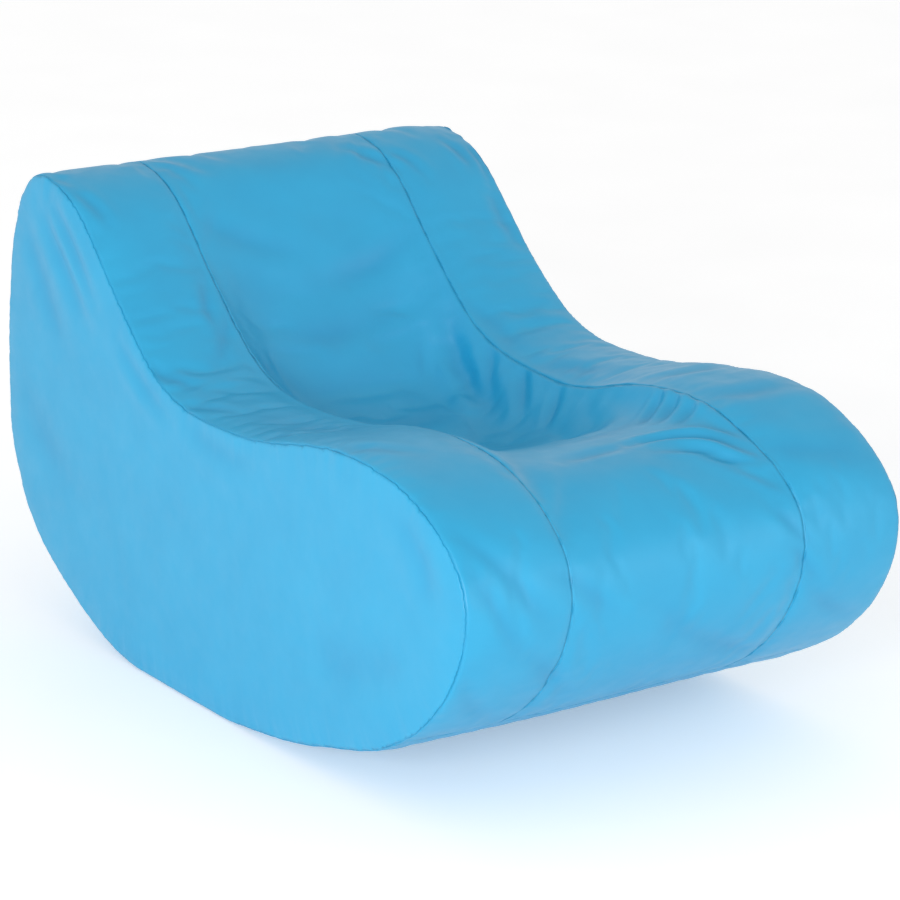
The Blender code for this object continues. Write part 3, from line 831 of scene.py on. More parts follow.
FOLDS: tuple[Fold, ...] = (
    # the hollow's right wall: one long crease at its foot and short ones that hang from the seam
    Fold(CENTRE_ONLY, (0.420, 0.190), (0.520, 0.170), (0.640, 0.150), 0.011, 0.013),
    Fold(CENTRE_ONLY, (0.520, 0.208), (0.560, 0.190), (0.610, 0.165), 0.006, 0.009),
    Fold(CENTRE_ONLY, (0.620, 0.208), (0.650, 0.190), (0.690, 0.165), 0.006, 0.009),
    Fold(CENTRE_ONLY, (0.720, 0.208), (0.740, 0.190), (0.760, 0.160), 0.005, 0.009),
    Fold(CENTRE_ONLY, (1.000, 0.210), (1.020, 0.180), (1.050, 0.140), 0.006, 0.008),
    Fold(CENTRE_ONLY, (1.040, 0.210), (1.060, 0.185), (1.085, 0.145), 0.006, 0.008),
    Fold(CENTRE_ONLY, (1.085, 0.210), (1.100, 0.190), (1.120, 0.150), 0.005, 0.008),
    # the crease round the hollow's front end and the roll in front of it
    Fold(CENTRE_ONLY, (1.155, 0.040), (1.180, 0.130), (1.275, 0.200), 0.008, 0.011, 0.8),
    Fold(CENTRE_ONLY, (1.180, -0.100), (1.165, -0.030), (1.160, 0.040), 0.004, 0.014),
    Fold(CENTRE_ONLY, (1.205, 0.055), (1.225, 0.110), (1.255, 0.155), 0.003, 0.009),
    Fold(CENTRE_ONLY, (1.250, 0.120), (1.265, 0.155), (1.285, 0.190), 0.003, 0.008),
    # the hollow's left wall and the upper back
    Fold(CENTRE_ONLY, (0.430, -0.190), (0.540, -0.170), (0.680, -0.150), 0.008, 0.013),
    Fold(CENTRE_ONLY, (0.760, -0.205), (0.790, -0.185), (0.830, -0.150), 0.005, 0.009),
    Fold(CENTRE_ONLY, (0.930, -0.205), (0.950, -0.185), (0.980, -0.150), 0.005, 0.009),
    Fold(CENTRE_ONLY, (0.180, -0.190), (0.230, -0.100), (0.260, 0.000), 0.003, 0.020),
    Fold(CENTRE_ONLY, (0.260, 0.190), (0.300, 0.100), (0.310, 0.010), 0.004, 0.018),
    Fold(CENTRE_ONLY, (0.380, -0.120), (0.400, 0.000), (0.380, 0.120), 0.004, 0.020),
    # across the seat, where the fabric bunches under the thighs
    Fold(CENTRE_ONLY, (0.800, -0.140), (0.830, -0.020), (0.860, 0.120), 0.004, 0.018),
    Fold(CENTRE_ONLY, (0.930, 0.150), (0.960, 0.040), (0.950, -0.110), 0.004, 0.016),
    Fold(CENTRE_ONLY, (0.560, -0.130), (0.580, 0.000), (0.560, 0.130), 0.003, 0.022),
    # short folds across the top strip below the ridge
    Fold(RIGHT_PAIR, (0.060, 0.150), (0.095, 0.190), (0.150, 0.240), 0.0035, 0.011),
    Fold(RIGHT_PAIR, (0.090, 0.225), (0.120, 0.250), (0.170, 0.265), 0.003, 0.010),
    Fold(RIGHT_TOP, (0.075, 0.345), (0.115, 0.360), (0.160, 0.365), 0.004, 0.010),
    Fold(RIGHT_TOP, (0.095, 0.380), (0.135, 0.388), (0.190, 0.385), 0.004, 0.009),
    Fold(RIGHT_TOP, (0.200, 0.385), (0.260, 0.375), (0.330, 0.385), 0.003, 0.013),
    # the left bolster: a wide dent at the elbow and small creases by its seams
    Fold(LEFT_TOP, (0.660, -0.330), (0.780, -0.290), (0.980, -0.300), 0.0045, 0.040),
    Fold(LEFT_TOP, (0.300, -0.230), (0.345, -0.250), (0.400, -0.255), 0.0030, 0.010),
    Fold(LEFT_TOP, (0.380, -0.225), (0.420, -0.250), (0.460, -0.285), 0.0030, 0.010),
    Fold(LEFT_TOP, (0.085, -0.385), (0.120, -0.370), (0.170, -0.360), 0.0030, 0.010),
    Fold(LEFT_TOP, (0.450, -0.395), (0.480, -0.375), (0.520, -0.350), 0.0030, 0.010),
    Fold(LEFT_TOP, (0.560, -0.395), (0.590, -0.370), (0.640, -0.340), 0.0030, 0.011),
    Fold(LEFT_TOP, (0.800, -0.395), (0.820, -0.370), (0.850, -0.330), 0.0023, 0.011),
    Fold(LEFT_TOP, (1.020, -0.395), (1.060, -0.360), (1.120, -0.320), 0.0023, 0.014),
    # the right bolster, waved where the knee leans on it
    Fold(RIGHT_TOP, (0.930, 0.240), (0.960, 0.300), (0.950, 0.395), 0.0030, 0.016, 0.9),
    Fold(RIGHT_TOP, (1.080, 0.230), (1.120, 0.290), (1.130, 0.395), 0.0024, 0.018, 0.8),
    Fold(RIGHT_TOP, (0.640, 0.225), (0.700, 0.260), (0.780, 0.270), 0.0024, 0.016),
    Fold(RIGHT_TOP, (0.420, 0.225), (0.500, 0.250), (0.560, 0.240), 0.0018, 0.014),
    Fold(RIGHT_TOP, (1.250, 0.230), (1.290, 0.280), (1.310, 0.370), 0.0018, 0.020),
    # soft diagonals on the front roll
    Fold(LEFT_TOP, (1.300, -0.385), (1.390, -0.320), (1.470, -0.250), 0.0027, 0.015),
    Fold(LEFT_TOP, (1.350, -0.392), (1.440, -0.345), (1.520, -0.290), 0.0021, 0.013),
    Fold(LEFT_TOP, (1.530, -0.390), (1.620, -0.340), (1.740, -0.235), 0.0027, 0.016),
    Fold(LEFT_PAIR, (1.500, -0.300), (1.570, -0.230), (1.670, -0.140), 0.0024, 0.016),
    Fold(LEFT_PAIR, (1.400, -0.235), (1.430, -0.190), (1.490, -0.120), 0.0018, 0.014),
    Fold(RIGHT_PAIR, (1.480, -0.060), (1.570, 0.050), (1.660, 0.190), 0.0024, 0.020),
    Fold(RIGHT_PAIR, (1.560, 0.060), (1.620, 0.130), (1.690, 0.240), 0.0021, 0.016),
    Fold(RIGHT_PAIR, (1.370, 0.175), (1.400, 0.195), (1.450, 0.235), 0.0021, 0.010),
    Fold(RIGHT_PAIR, (1.430, 0.190), (1.460, 0.215), (1.510, 0.255), 0.0021, 0.010),
    Fold(RIGHT_TOP, (1.500, 0.230), (1.560, 0.290), (1.610, 0.370), 0.0021, 0.014),
    # the left side: long soft folds that run down beside the top seam
    Fold(LEFT_SIDE_ONLY, (0.520, 0.748), (0.455, 0.690), (0.372, 0.598), 0.0045, 0.014),
    Fold(LEFT_SIDE_ONLY, (0.560, 0.735), (0.480, 0.650), (0.400, 0.560), 0.0040, 0.018),
    Fold(LEFT_SIDE_ONLY, (0.610, 0.700), (0.550, 0.600), (0.480, 0.500), 0.0030, 0.022),
    Fold(LEFT_SIDE_ONLY, (0.300, 0.560), (0.230, 0.505), (0.130, 0.460), 0.0035, 0.014),
    Fold(LEFT_SIDE_ONLY, (0.080, 0.470), (-0.020, 0.448), (-0.140, 0.455), 0.0025, 0.018),
    Fold(LEFT_SIDE_ONLY, (-0.520, 0.480), (-0.590, 0.430), (-0.620, 0.360), 0.0025, 0.020),
    Fold(LEFT_SIDE_ONLY, (0.650, 0.420), (0.560, 0.330), (0.430, 0.260), 0.0020, 0.034),
    Fold(LEFT_SIDE_ONLY, (-0.550, 0.260), (-0.420, 0.210), (-0.280, 0.200), 0.0020, 0.034),
    Fold(RIGHT_SIDE_ONLY, (0.540, 0.740), (0.465, 0.670), (0.385, 0.590), 0.0045, 0.015),
    Fold(RIGHT_SIDE_ONLY, (0.590, 0.700), (0.510, 0.600), (0.430, 0.520), 0.0035, 0.020),
    Fold(RIGHT_SIDE_ONLY, (0.250, 0.530), (0.160, 0.480), (0.050, 0.455), 0.0035, 0.015),
    Fold(RIGHT_SIDE_ONLY, (-0.200, 0.470), (-0.300, 0.490), (-0.420, 0.490), 0.0030, 0.016),
    Fold(RIGHT_SIDE_ONLY, (0.640, 0.400), (0.540, 0.300), (0.400, 0.240), 0.0020, 0.034),
    # the back: slack creases that fan out from the top corners and a sag above the zip
    Fold(BACK_ONLY, (3.490, -0.370), (3.400, -0.300), (3.330, -0.180), 0.0040, 0.016),
    Fold(BACK_ONLY, (3.500, -0.320), (3.440, -0.220), (3.400, -0.080), 0.0030, 0.014),
    Fold(BACK_ONLY, (3.495, 0.365), (3.410, 0.310), (3.320, 0.200), 0.0040, 0.016),
    Fold(BACK_ONLY, (3.500, 0.300), (3.450, 0.190), (3.420, 0.060), 0.0030, 0.014),
    Fold(BACK_ONLY, (3.190, -0.380), (3.175, -0.200), (3.185, -0.020), 0.0035, 0.020),
    Fold(BACK_ONLY, (3.215, 0.020), (3.190, 0.190), (3.200, 0.385), 0.0035, 0.019),
    Fold(BACK_ONLY, (3.290, 0.390), (3.270, 0.320), (3.285, 0.230), 0.0030, 0.013),
    Fold(BACK_ONLY, (3.270, -0.390), (3.255, -0.310), (3.265, -0.210), 0.0030, 0.013),
    # the underside: long creases across where it rolls up to the front and to the back
    Fold(BASE_ONLY, (1.900, -0.340), (1.925, -0.100), (1.905, 0.180), 0.0030, 0.022),
    Fold(BASE_ONLY, (2.050, -0.200), (2.070, 0.050), (2.045, 0.340), 0.0030, 0.022),
    Fold(BASE_ONLY, (2.750, -0.330), (2.770, -0.050), (2.745, 0.220), 0.0030, 0.020),
    Fold(BASE_ONLY, (2.880, -0.120), (2.900, 0.140), (2.880, 0.350), 0.0030, 0.018),
)


@dataclass(frozen=True)
class Swelling:
    """A broad rise of the cover, or a dip where it is negative: a bell both along the outline and across."""

    rise: float
    station: float
    length: float
    x: float
    breadth: float


SWELLINGS: tuple[Swelling, ...] = (
    # the low front edge hangs fuller left of the middle
    Swelling(0.004, 1.777, 0.130, -0.130, 0.200),
    # the long right seam dips beside the hollow's deepest part and again before the front roll
    Swelling(-0.010, 0.740, 0.100, 0.220, 0.040),
    Swelling(-0.009, 1.235, 0.085, 0.220, 0.040),
    # the bolsters have sagged a little where elbows and knees lean
    Swelling(-0.006, 0.830, 0.160, -0.300, 0.070),
    Swelling(-0.005, 0.980, 0.050, 0.360, 0.080),
)


@dataclass
class SewnCover:
    """The whole cover as one sewn skin, which is blown up as cloth and then parted into its panels."""

    outline: SideOutline
    hollow: SeatHollow
    vinyl: bpy.types.Material
    spacing: float = 0.010
    crown: float = 0.0035
    seam_pull: float = 0.0015
    pull_width: float = 0.030
    ridge_drop: float = 0.007
    edge_rise: float = 0.0055
    zip_half: float = 0.0075
    zip_reach: float = 0.336
    pressure: float = 4.0
    slack: float = 0.014
    side_slack: float = 0.0015
    most_swell: float = 0.005
    most_ripple: float = 0.0045
    swell_passes: int = 24
    frames: int = 20
    pucker_depth: float = 0.00154
    pucker_length: float = 0.021
    pucker_reach: float = 0.10
    groove: tuple[float, ...] = (-0.0009, -0.0003, 0.0002, 0.0003, 0.0003, 0.0001)
    border: float = 0.0008

    def build(self) -> None:
        """Makes the skin, shapes and blows it up, and adds its seven panels to the scene."""
        skin = self.sew()
        self.blow_up(skin)
        self.subdivide(skin)
        self.wrinkle(skin)
        self.part(skin)

    # the sewn skin

    def rows(self) -> tuple[np.ndarray, np.ndarray]:
        """The stations of the skin's rows and the panel group of each row of faces.

        Returns:
            The stations, one for each row, and for each row of faces 0 for the strips, 1 for the base and
            2 for the back.
        """
        line = self.outline
        strip = self.even(line.back - line.length, line.front)
        base = self.even(line.front, line.zip - self.zip_half)
        back = self.even(line.zip + self.zip_half, line.back)
        stations = np.concatenate([strip[:-1], base, [line.zip], back[:-1]])
        groups = np.concatenate([np.zeros(len(strip) - 1), np.ones(len(base)), np.full(len(back), 2)])
        return stations, groups.astype(int)

    def even(self, start: float, end: float) -> np.ndarray:
        """Evenly spaced numbers from start to end, about a spacing apart."""
        return np.linspace(start, end, max(2, math.ceil((end - start) / self.spacing) + 1))

    def columns(self) -> np.ndarray:
        """The places across the chair of the skin's columns."""
        half = WIDTH / 2
        return np.concatenate(
            [self.even(-half, -SEAM_X)[:-1], self.even(-SEAM_X, SEAM_X)[:-1], self.even(SEAM_X, half)]
        )

    def shape(self, stations: np.ndarray, x: np.ndarray) -> np.ndarray:
        """The point of the filled cover at each station and place across.

        Args:
            stations: the distances along the outline.
            x: the places across the chair.

        Returns:
            A row (x, y, z) for each.
        """
        line = self.outline
        points, normals = line.at(stations)
        on_strips = stations <= line.front
        across = np.abs(x)
        bolster = np.sin(np.pi * np.clip((across - SEAM_X) / (WIDTH / 2 - SEAM_X), 0, 1)) ** 0.8
        middle = np.cos(np.pi / 2 * np.clip(across / (WIDTH / 2), 0, 1)) ** 0.7
        out = np.where(on_strips, self.crown * bolster, self.crown * middle)
        # the ridge runs straight across, and the front edge rests on the beads without swelling
        out = out * (1.0 - 0.9 * hump(stations, 0.0, 0.16)) * (1.0 - 0.8 * hump(stations, line.front, 0.20))
        # long seams pull the strips in, and the front seam pulls in across the whole width
        seam = hump(across, SEAM_X, self.pull_width) * on_strips
        edge = hump(across, WIDTH / 2, self.pull_width)
        cross_seam = np.zeros_like(x)
        for place in (line.front, line.back, line.back - line.length):
            cross_seam = np.maximum(cross_seam, hump(stations, place, self.pull_width))
        out = out - self.seam_pull * np.maximum(np.maximum(seam, edge), cross_seam)
        out = out - self.hollow.depth(stations, x) * on_strips
        for swelling in SWELLINGS:
            along = hump(stations, swelling.station, swelling.length)
            out = out + swelling.rise * along * hump(x, swelling.x, swelling.breadth)
        # the ridge's right end has slumped
        out = out - self.ridge_drop * smooth((x - 0.31) / 0.09) * hump(stations, 0.02, 0.13)
        # the right bolster's outer edge stands a little proud of the outline
        proud = smooth((stations - 0.30) / 0.14) * (1.0 - smooth((stations - 1.14) / 0.16))
        out = out + self.edge_rise * proud * smooth((x - 0.27) / 0.09)
        # a flat stretch carries the zip, and the floor flattens the underside
        out = out * (1.0 - self.near_zip(stations, 0.025, 0.060))
        points = points + normals * out[:, None]
        return np.stack([x, points[:, 0], np.maximum(points[:, 1], 0.0)], -1)

    def near_zip(self, stations: np.ndarray, flat: float, ease: float) -> np.ndarray:
        """How near the zip each station is: 1 within a flat width of it, 0 an ease further off."""
        return 1.0 - smooth((np.abs(stations - self.outline.zip) - flat) / ease)

    def side_lattice(self, ring: np.ndarray) -> tuple[np.ndarray, list[list[int]]]:
        """Fills the outline with points and triangles.

        Args:
            ring: the outline's points, as rows (y, z).

        Returns:
            The points added inside, and the triangles, which number the ring's points first.
        """
        step = self.spacing * 1.05
        ys = np.arange(ring[:, 0].min() + step, ring[:, 0].max(), step)
        zs = np.arange(ring[:, 1].min() + step, ring[:, 1].max(), step * 0.87)
        tree = KDTree(len(ring))
        for i, (y, z) in enumerate(ring):
            tree.insert((y, z, 0.0), i)
        tree.balance()
        inner = []
        for row, z in enumerate(zs):
            crossings = self.crossings(ring, z)
            for y in ys + (step / 2 if row % 2 else 0.0):
                if np.count_nonzero(crossings < y) % 2 and tree.find((y, z, 0.0))[2] > step * 0.72:
                    inner.append((y, z))
        count = len(ring)
        corners = [Vector(p) for p in ring] + [Vector(p) for p in inner]
        edges = [(i, (i + 1) % count) for i in range(count)]
        found = delaunay_2d_cdt(corners, edges, [], 1, 1e-7)
        origin = [source[0] for source in found[3]]
        return np.array(inner), [[origin[i] for i in face] for face in found[2]]

    def crossings(self, ring: np.ndarray, z: float) -> np.ndarray:
        """Where the outline crosses a height, as y."""
        after = np.roll(ring, -1, axis=0)
        cut = (ring[:, 1] > z) != (after[:, 1] > z)
        a, b = ring[cut], after[cut]
        return a[:, 0] + (z - a[:, 1]) / (b[:, 1] - a[:, 1]) * (b[:, 0] - a[:, 0])

    def sew(self) -> bpy.types.Object:
        """Builds the closed skin, with each face numbered by its panel."""
        stations, groups = self.rows()
        columns = self.columns()
        count, across = len(stations), len(columns)
        grid_s, grid_x = np.repeat(stations, across), np.tile(columns, count)
        points = self.shape(grid_s, grid_x)
        flat, _ = self.outline.at(stations)
        inner, triangles = self.side_lattice(flat)
        faces: list[tuple[int, ...]] = []
        panels: list[int] = []
        group_panel = (None, Panel.BASE, Panel.BACK)
        for i in range(count):
            after = (i + 1) % count
            for j in range(across - 1):
                a, b = i * across + j, after * across + j
                faces.append((a, a + 1, b + 1, b))
                middle = (columns[j] + columns[j + 1]) / 2
                strip = STRIPS[int(np.digitize(middle, (-SEAM_X, SEAM_X)))]
                panel = strip if groups[i] == 0 else group_panel[groups[i]]
                panels.append(panel.value)
        plans = np.zeros((count * across, 3))
        plans[:, 0], plans[:, 1] = grid_s, grid_x
        flats = np.repeat(flat, across, axis=0)
        all_points, all_plans, all_flats = [points], [plans], [flats]
        start = count * across
        for panel, side, column in ((Panel.LEFT_SIDE, -1, 0), (Panel.RIGHT_SIDE, 1, across - 1)):
            place = np.concatenate([np.full((len(inner), 1), side * WIDTH / 2), inner], 1)
            all_points.append(place)
            all_plans.append(np.zeros((len(inner), 3)))
            all_flats.append(inner)
            ids = [i * across + column for i in range(count)] + list(range(start, start + len(inner)))
            start += len(inner)
            for triangle in triangles:
                a, b, c = (ids[i] for i in triangle)
                faces.append((a, b, c) if side > 0 else (a, c, b))
                panels.append(panel.value)
        mesh = bpy.data.meshes.new("cover_skin")
        mesh.from_pydata(np.concatenate(all_points).tolist(), [], faces)
        mesh.polygons.foreach_set("material_index", panels)
        for _ in Panel:
            mesh.materials.append(self.vinyl)
        for name, rows in (("strip_plan", all_plans), ("side_plan", all_flats)):
            values = np.concatenate(rows)
            values = np.pad(values, ((0, 0), (0, 3 - values.shape[1])))
            mesh.attributes.new(name, "FLOAT_VECTOR", "POINT").data.foreach_set("vector", values.ravel())
        bm = bmesh.new()
        bm.from_mesh(mesh)
        bmesh.ops.recalc_face_normals(bm, faces=bm.faces)
        bm.to_mesh(mesh)
        bm.free()
        skin = bpy.data.objects.new("cover_skin", mesh)
        bpy.context.scene.collection.objects.link(skin)
        return skin

    # cloth

    def blow_up(self, skin: bpy.types.Object) -> None:
        """Blows the skin up as cloth with a little slack, and keeps how far each point moves within bounds.

        Args:
            skin: the sewn skin, which is changed.
        """
        rest = self.read(skin, "co")
        cloth = skin.modifiers.new("cloth", "CLOTH")
        settings = cloth.settings
        settings.quality = 4
        settings.mass = 0.25
        settings.tension_stiffness = 12.0
        settings.compression_stiffness = 12.0
        settings.shear_stiffness = 4.0
        settings.bending_stiffness = 0.8
        settings.tension_damping = 8.0
        settings.compression_damping = 8.0
        settings.use_pressure = True
        settings.uniform_pressure_force = self.pressure
        settings.vertex_group_mass = self.pin_seams(skin).name
        settings.vertex_group_shrink = self.taut_sides(skin).name
        settings.shrink_min = -self.slack
        settings.shrink_max = -self.side_slack
        settings.effector_weights.gravity = 0.0
        cloth.collision_settings.use_collision = False
        scene = bpy.context.scene
        for step in range(1, self.frames + 1):
            scene.frame_set(step)
        graph = bpy.context.evaluated_depsgraph_get()
        blown = skin.evaluated_get(graph).to_mesh()
        moved = np.empty(len(blown.vertices) * 3)
        blown.vertices.foreach_get("co", moved)
        skin.modifiers.remove(cloth)
        scene.frame_set(1)
        step = moved.reshape(-1, 3) - rest
        size = np.linalg.norm(step, axis=1)
        LOG.info("cloth moved %.1f mm on average, %.1f mm at most", 1000 * size.mean(), 1000 * size.max())
        broad = self.spread_out(skin.data, step)
        plan = self.read(skin, "strip_plan")
        calm = hump(plan[:, 0], 0.0, 0.16) + hump(plan[:, 0], self.outline.front, 0.22)
        calm = np.where(plan[:, 0] == 0.0, 0.0, np.clip(calm, 0.0, 1.0))[:, None]
        swell = self.limit(broad, self.most_swell) * (1.0 - 0.8 * calm)
        front_roll = 0.45 * hump(plan[:, 0], self.outline.front - 0.02, 0.34)[:, None]
        step = swell + self.limit(step - broad, self.most_ripple) * (1.0 - front_roll)
        placed = rest + step * (1.0 - self.near_zip(plan[:, 0], 0.025, 0.060))[:, None]
        placed[:, 2] = np.maximum(placed[:, 2], 0.0)
        skin.data.vertices.foreach_set("co", placed.ravel())

    def pin_seams(self, skin: bpy.types.Object) -> bpy.types.VertexGroup:
        """Holds the seams where they are sewn, and the underside where it stands."""
        member = self.panel_points(skin.data)
        points = self.read(skin, "co")
        held = (member.sum(0) > 1) | (points[:, 2] < 0.002)
        group = skin.vertex_groups.new(name="held")
        group.add(np.flatnonzero(held).tolist(), 1.0, "REPLACE")
        return group

    def taut_sides(self, skin: bpy.types.Object) -> bpy.types.VertexGroup:
        """Marks the two big side panels, which are stretched flatter than the strips."""
        member = self.panel_points(skin.data)
        sides = member[Panel.LEFT_SIDE.value] | member[Panel.RIGHT_SIDE.value]
        group = skin.vertex_groups.new(name="taut")
        group.add(np.flatnonzero(sides).tolist(), 1.0, "REPLACE")
        return group

    def limit(self, step: np.ndarray, most: float) -> np.ndarray:
        """Eases every move that is longer than a limit back to it."""
        size = np.linalg.norm(step, axis=1, keepdims=True)
        return step * (most * np.tanh(size / most) / np.maximum(size, 1e-9))

    def spread_out(self, mesh: bpy.types.Mesh, step: np.ndarray) -> np.ndarray:
        """Averages the moves over their neighbours many times, which leaves the broad swell alone."""
        ends = np.empty(len(mesh.edges) * 2, np.int64)
        mesh.edges.foreach_get("vertices", ends)
        a, b = ends.reshape(-1, 2).T
        count = np.bincount(ends, minlength=len(step))[:, None]
        for _ in range(self.swell_passes):
            total = np.stack(
                [
                    np.bincount(a, step[b, k], len(step)) + np.bincount(b, step[a, k], len(step))
                    for k in range(3)
                ],
                -1,
            )
            step = 0.5 * step + 0.5 * total / count
        return step

    def subdivide(self, skin: bpy.types.Object) -> None:
        """Smooths the skin by one subdivision."""
        modifier = skin.modifiers.new("subdivision", "SUBSURF")
        modifier.levels = modifier.render_levels = 1
        graph = bpy.context.evaluated_depsgraph_get()
        finer = bpy.data.meshes.new_from_object(skin.evaluated_get(graph))
        skin.modifiers.clear()
        skin.data = finer

    def read(self, skin: bpy.types.Object, name: str) -> np.ndarray:
        """The skin's points, or one of its vector attributes, as rows."""
        values = np.empty(len(skin.data.vertices) * 3)
        if name == "co":
            skin.data.vertices.foreach_get("co", values)
        elif name == "normal":
            skin.data.vertices.foreach_get("normal", values)
        else:
            skin.data.attributes[name].data.foreach_get("vector", values)
        return values.reshape(-1, 3)

    # folds and puckers

    def wrinkle(self, skin: bpy.types.Object) -> None:
        """Presses the folds into the skin, gathers it along its seams and stores where painted shade darkens
        it.

        Args:
            skin: the subdivided skin, which is changed.
        """
        mesh = skin.data
        points, normals = self.read(skin, "co"), self.read(skin, "normal")
        strip_plan, side_plan = self.read(skin, "strip_plan"), self.read(skin, "side_plan")
        member = self.panel_points(mesh)
        out, crease = np.zeros(len(points)), np.zeros(len(points))
        for fold in FOLDS:
            inside = np.zeros(len(points), bool)
            for panel in fold.panels:
                inside |= member[panel.value]
            sides = {Panel.LEFT_SIDE, Panel.RIGHT_SIDE}
            plan = side_plan if fold.panels[0] in sides else strip_plan
            rise, line = self.fold_rise(fold, plan[inside, :2])
            out[inside] += rise
            crease[inside] = np.maximum(crease[inside], line)
        seams, gap = self.seam_points(mesh, points)
        for i in np.flatnonzero(gap < self.pucker_reach):
            spot = seams[i] / self.pucker_length
            depth = smooth_noise(Vector(spot), 3.1) + smooth_noise(Vector(spot * 0.37), 8.2) * 1.4
            fade = math.exp(-gap[i] / 0.026) * (1.0 - math.exp(-gap[i] / 0.004))
            out[i] += self.pucker_depth * depth * fade
        points = points + normals * (out * (1.0 - self.near_zip(strip_plan[:, 0], 0.022, 0.050)))[:, None]
        points[:, 2] = np.maximum(points[:, 2], 0.0)
        mesh.vertices.foreach_set("co", points.ravel())
        # painted shade: the fold valleys and a thin line along each seam are darkened in the vinyl's colour,
        # the seams less on the front roll
        quiet = self.seam_share(strip_plan[:, 0], points[:, 0])
        crease = np.clip(crease * 0.25, 0.0, 0.4) + 0.05 * quiet * np.exp(-gap / 0.0030)
        self.write_float(mesh, "crease", np.clip(crease, 0.0, 1.0))
        mesh.update()
        shared = self.read(skin, "normal")
        mesh.attributes.new("seam_normal", "FLOAT_VECTOR", "POINT").data.foreach_set(
            "vector", shared.ravel()
        )

    def write_float(self, mesh: bpy.types.Mesh, name: str, values: np.ndarray) -> None:
        """Stores a number for each point of a mesh."""
        mesh.attributes.new(name, "FLOAT", "POINT").data.foreach_set("value", values)

    def fold_rise(self, fold: Fold, plan: np.ndarray) -> tuple[np.ndarray, np.ndarray]:
        """How far a fold lifts or presses each point.

        Args:
            fold: the fold.
            plan: the points' places in the fold's own plane.

        Returns:
            The lift of each point, negative in the valley, and how far it is in the valley, from 0 to 1.
        """
        start, middle, end = (np.array(p) for p in (fold.start, fold.middle, fold.end))
        handle = 2 * middle - (start + end) / 2
        shares = np.linspace(0.0, 1.0, 33)
        line = (
            start * (1 - shares[:, None]) ** 2
            + handle * 2 * shares[:, None] * (1 - shares[:, None])
            + end * shares[:, None] ** 2
        )
        away = np.full(len(plan), 1e9)
        share = np.zeros(len(plan))
        for spot, t in zip(line, shares):
            gap = np.hypot(plan[:, 0] - spot[0], plan[:, 1] - spot[1])
            nearer = gap < away
            away = np.where(nearer, gap, away)
            share = np.where(nearer, t, share)
        fade = np.sin(np.pi * np.clip(share, 0.04, 0.96)) ** 0.7
        valley = hump(away, 0.0, fold.width)
        ridge = hump(away, 2.0 * fold.width, 1.1 * fold.width)
        return fold.depth * fade * (fold.ridge * ridge - valley), fade * valley

    def panel_points(self, mesh: bpy.types.Mesh) -> np.ndarray:
        """For each panel, which points of the skin its faces use."""
        member = np.zeros((len(Panel), len(mesh.vertices)), bool)
        for face in mesh.polygons:
            member[face.material_index, face.vertices] = True
        return member

    def seam_points(self, mesh: bpy.types.Mesh, points: np.ndarray) -> tuple[np.ndarray, np.ndarray]:
        """The nearest seam point of every point, and how far away it is.

        Args:
            mesh: the skin.
            points: its points, as rows.

        Returns:
            The nearest seam points, as rows, and the distances.
        """
        member = self.panel_points(mesh)
        on_seam = np.flatnonzero(member.sum(0) > 1)
        tree = KDTree(len(on_seam))
        for i in on_seam:
            tree.insert(points[i], int(i))
        tree.balance()
        nearest = [tree.find(p) for p in points]
        return np.array([found[0] for found in nearest]), np.array([found[2] for found in nearest])

    # the panels

    def part(self, skin: bpy.types.Object) -> None:
        """Parts the skin at its seams into panels with thickness, each with sewn-in borders.

        Args:
            skin: the wrinkled skin, which is removed.
        """
        for panel in Panel:
            bm = bmesh.new()
            bm.from_mesh(skin.data)
            others = [f for f in bm.faces if f.material_index != panel.value]
            bmesh.ops.delete(bm, geom=others, context="FACES")
            if panel in (Panel.BASE, Panel.BACK):
                self.open_zip(bm)
            self.sink_borders(bm)
            mesh = mesh_from(bm, f"{panel.node}_sewn")
            for name in ("strip_plan", "side_plan", "seam_normal"):
                mesh.attributes.remove(mesh.attributes[name])
            piece = add_piece(f"{panel.node}_sewn", mesh, self.vinyl, CHAIR, panel.node)
            thicken(piece, COVER, -1.0)
        bpy.data.objects.remove(skin)

    def seam_share(self, stations: np.ndarray, x: np.ndarray) -> np.ndarray:
        """How much of a seam's groove shows, from 0 to 1.

        The front roll is stuffed so tight that its two long seams almost close up.

        Args:
            stations: the distances along the outline.
            x: the places across the chair.

        Returns:
            The share at each.
        """
        long_seam = (np.abs(x) < SEAM_X + 0.03) & (stations < self.outline.front - 0.02)
        return 1.0 - 0.85 * smooth((stations - 1.18) / 0.16) * long_seam

    def open_zip(self, bm: bmesh.types.BMesh) -> None:
        """Opens the panel over the zip, between its two ends."""
        layer = bm.verts.layers.float_vector["strip_plan"]
        covered = []
        for face in bm.faces:
            gaps = [abs(v[layer].x - self.outline.zip) for v in face.verts]
            wide = max(abs(v.co.x) for v in face.verts)
            if max(gaps) < self.zip_half + 1e-4 and wide < self.zip_reach + 0.004:
                covered.append(face)
        bmesh.ops.delete(bm, geom=covered, context="FACES")

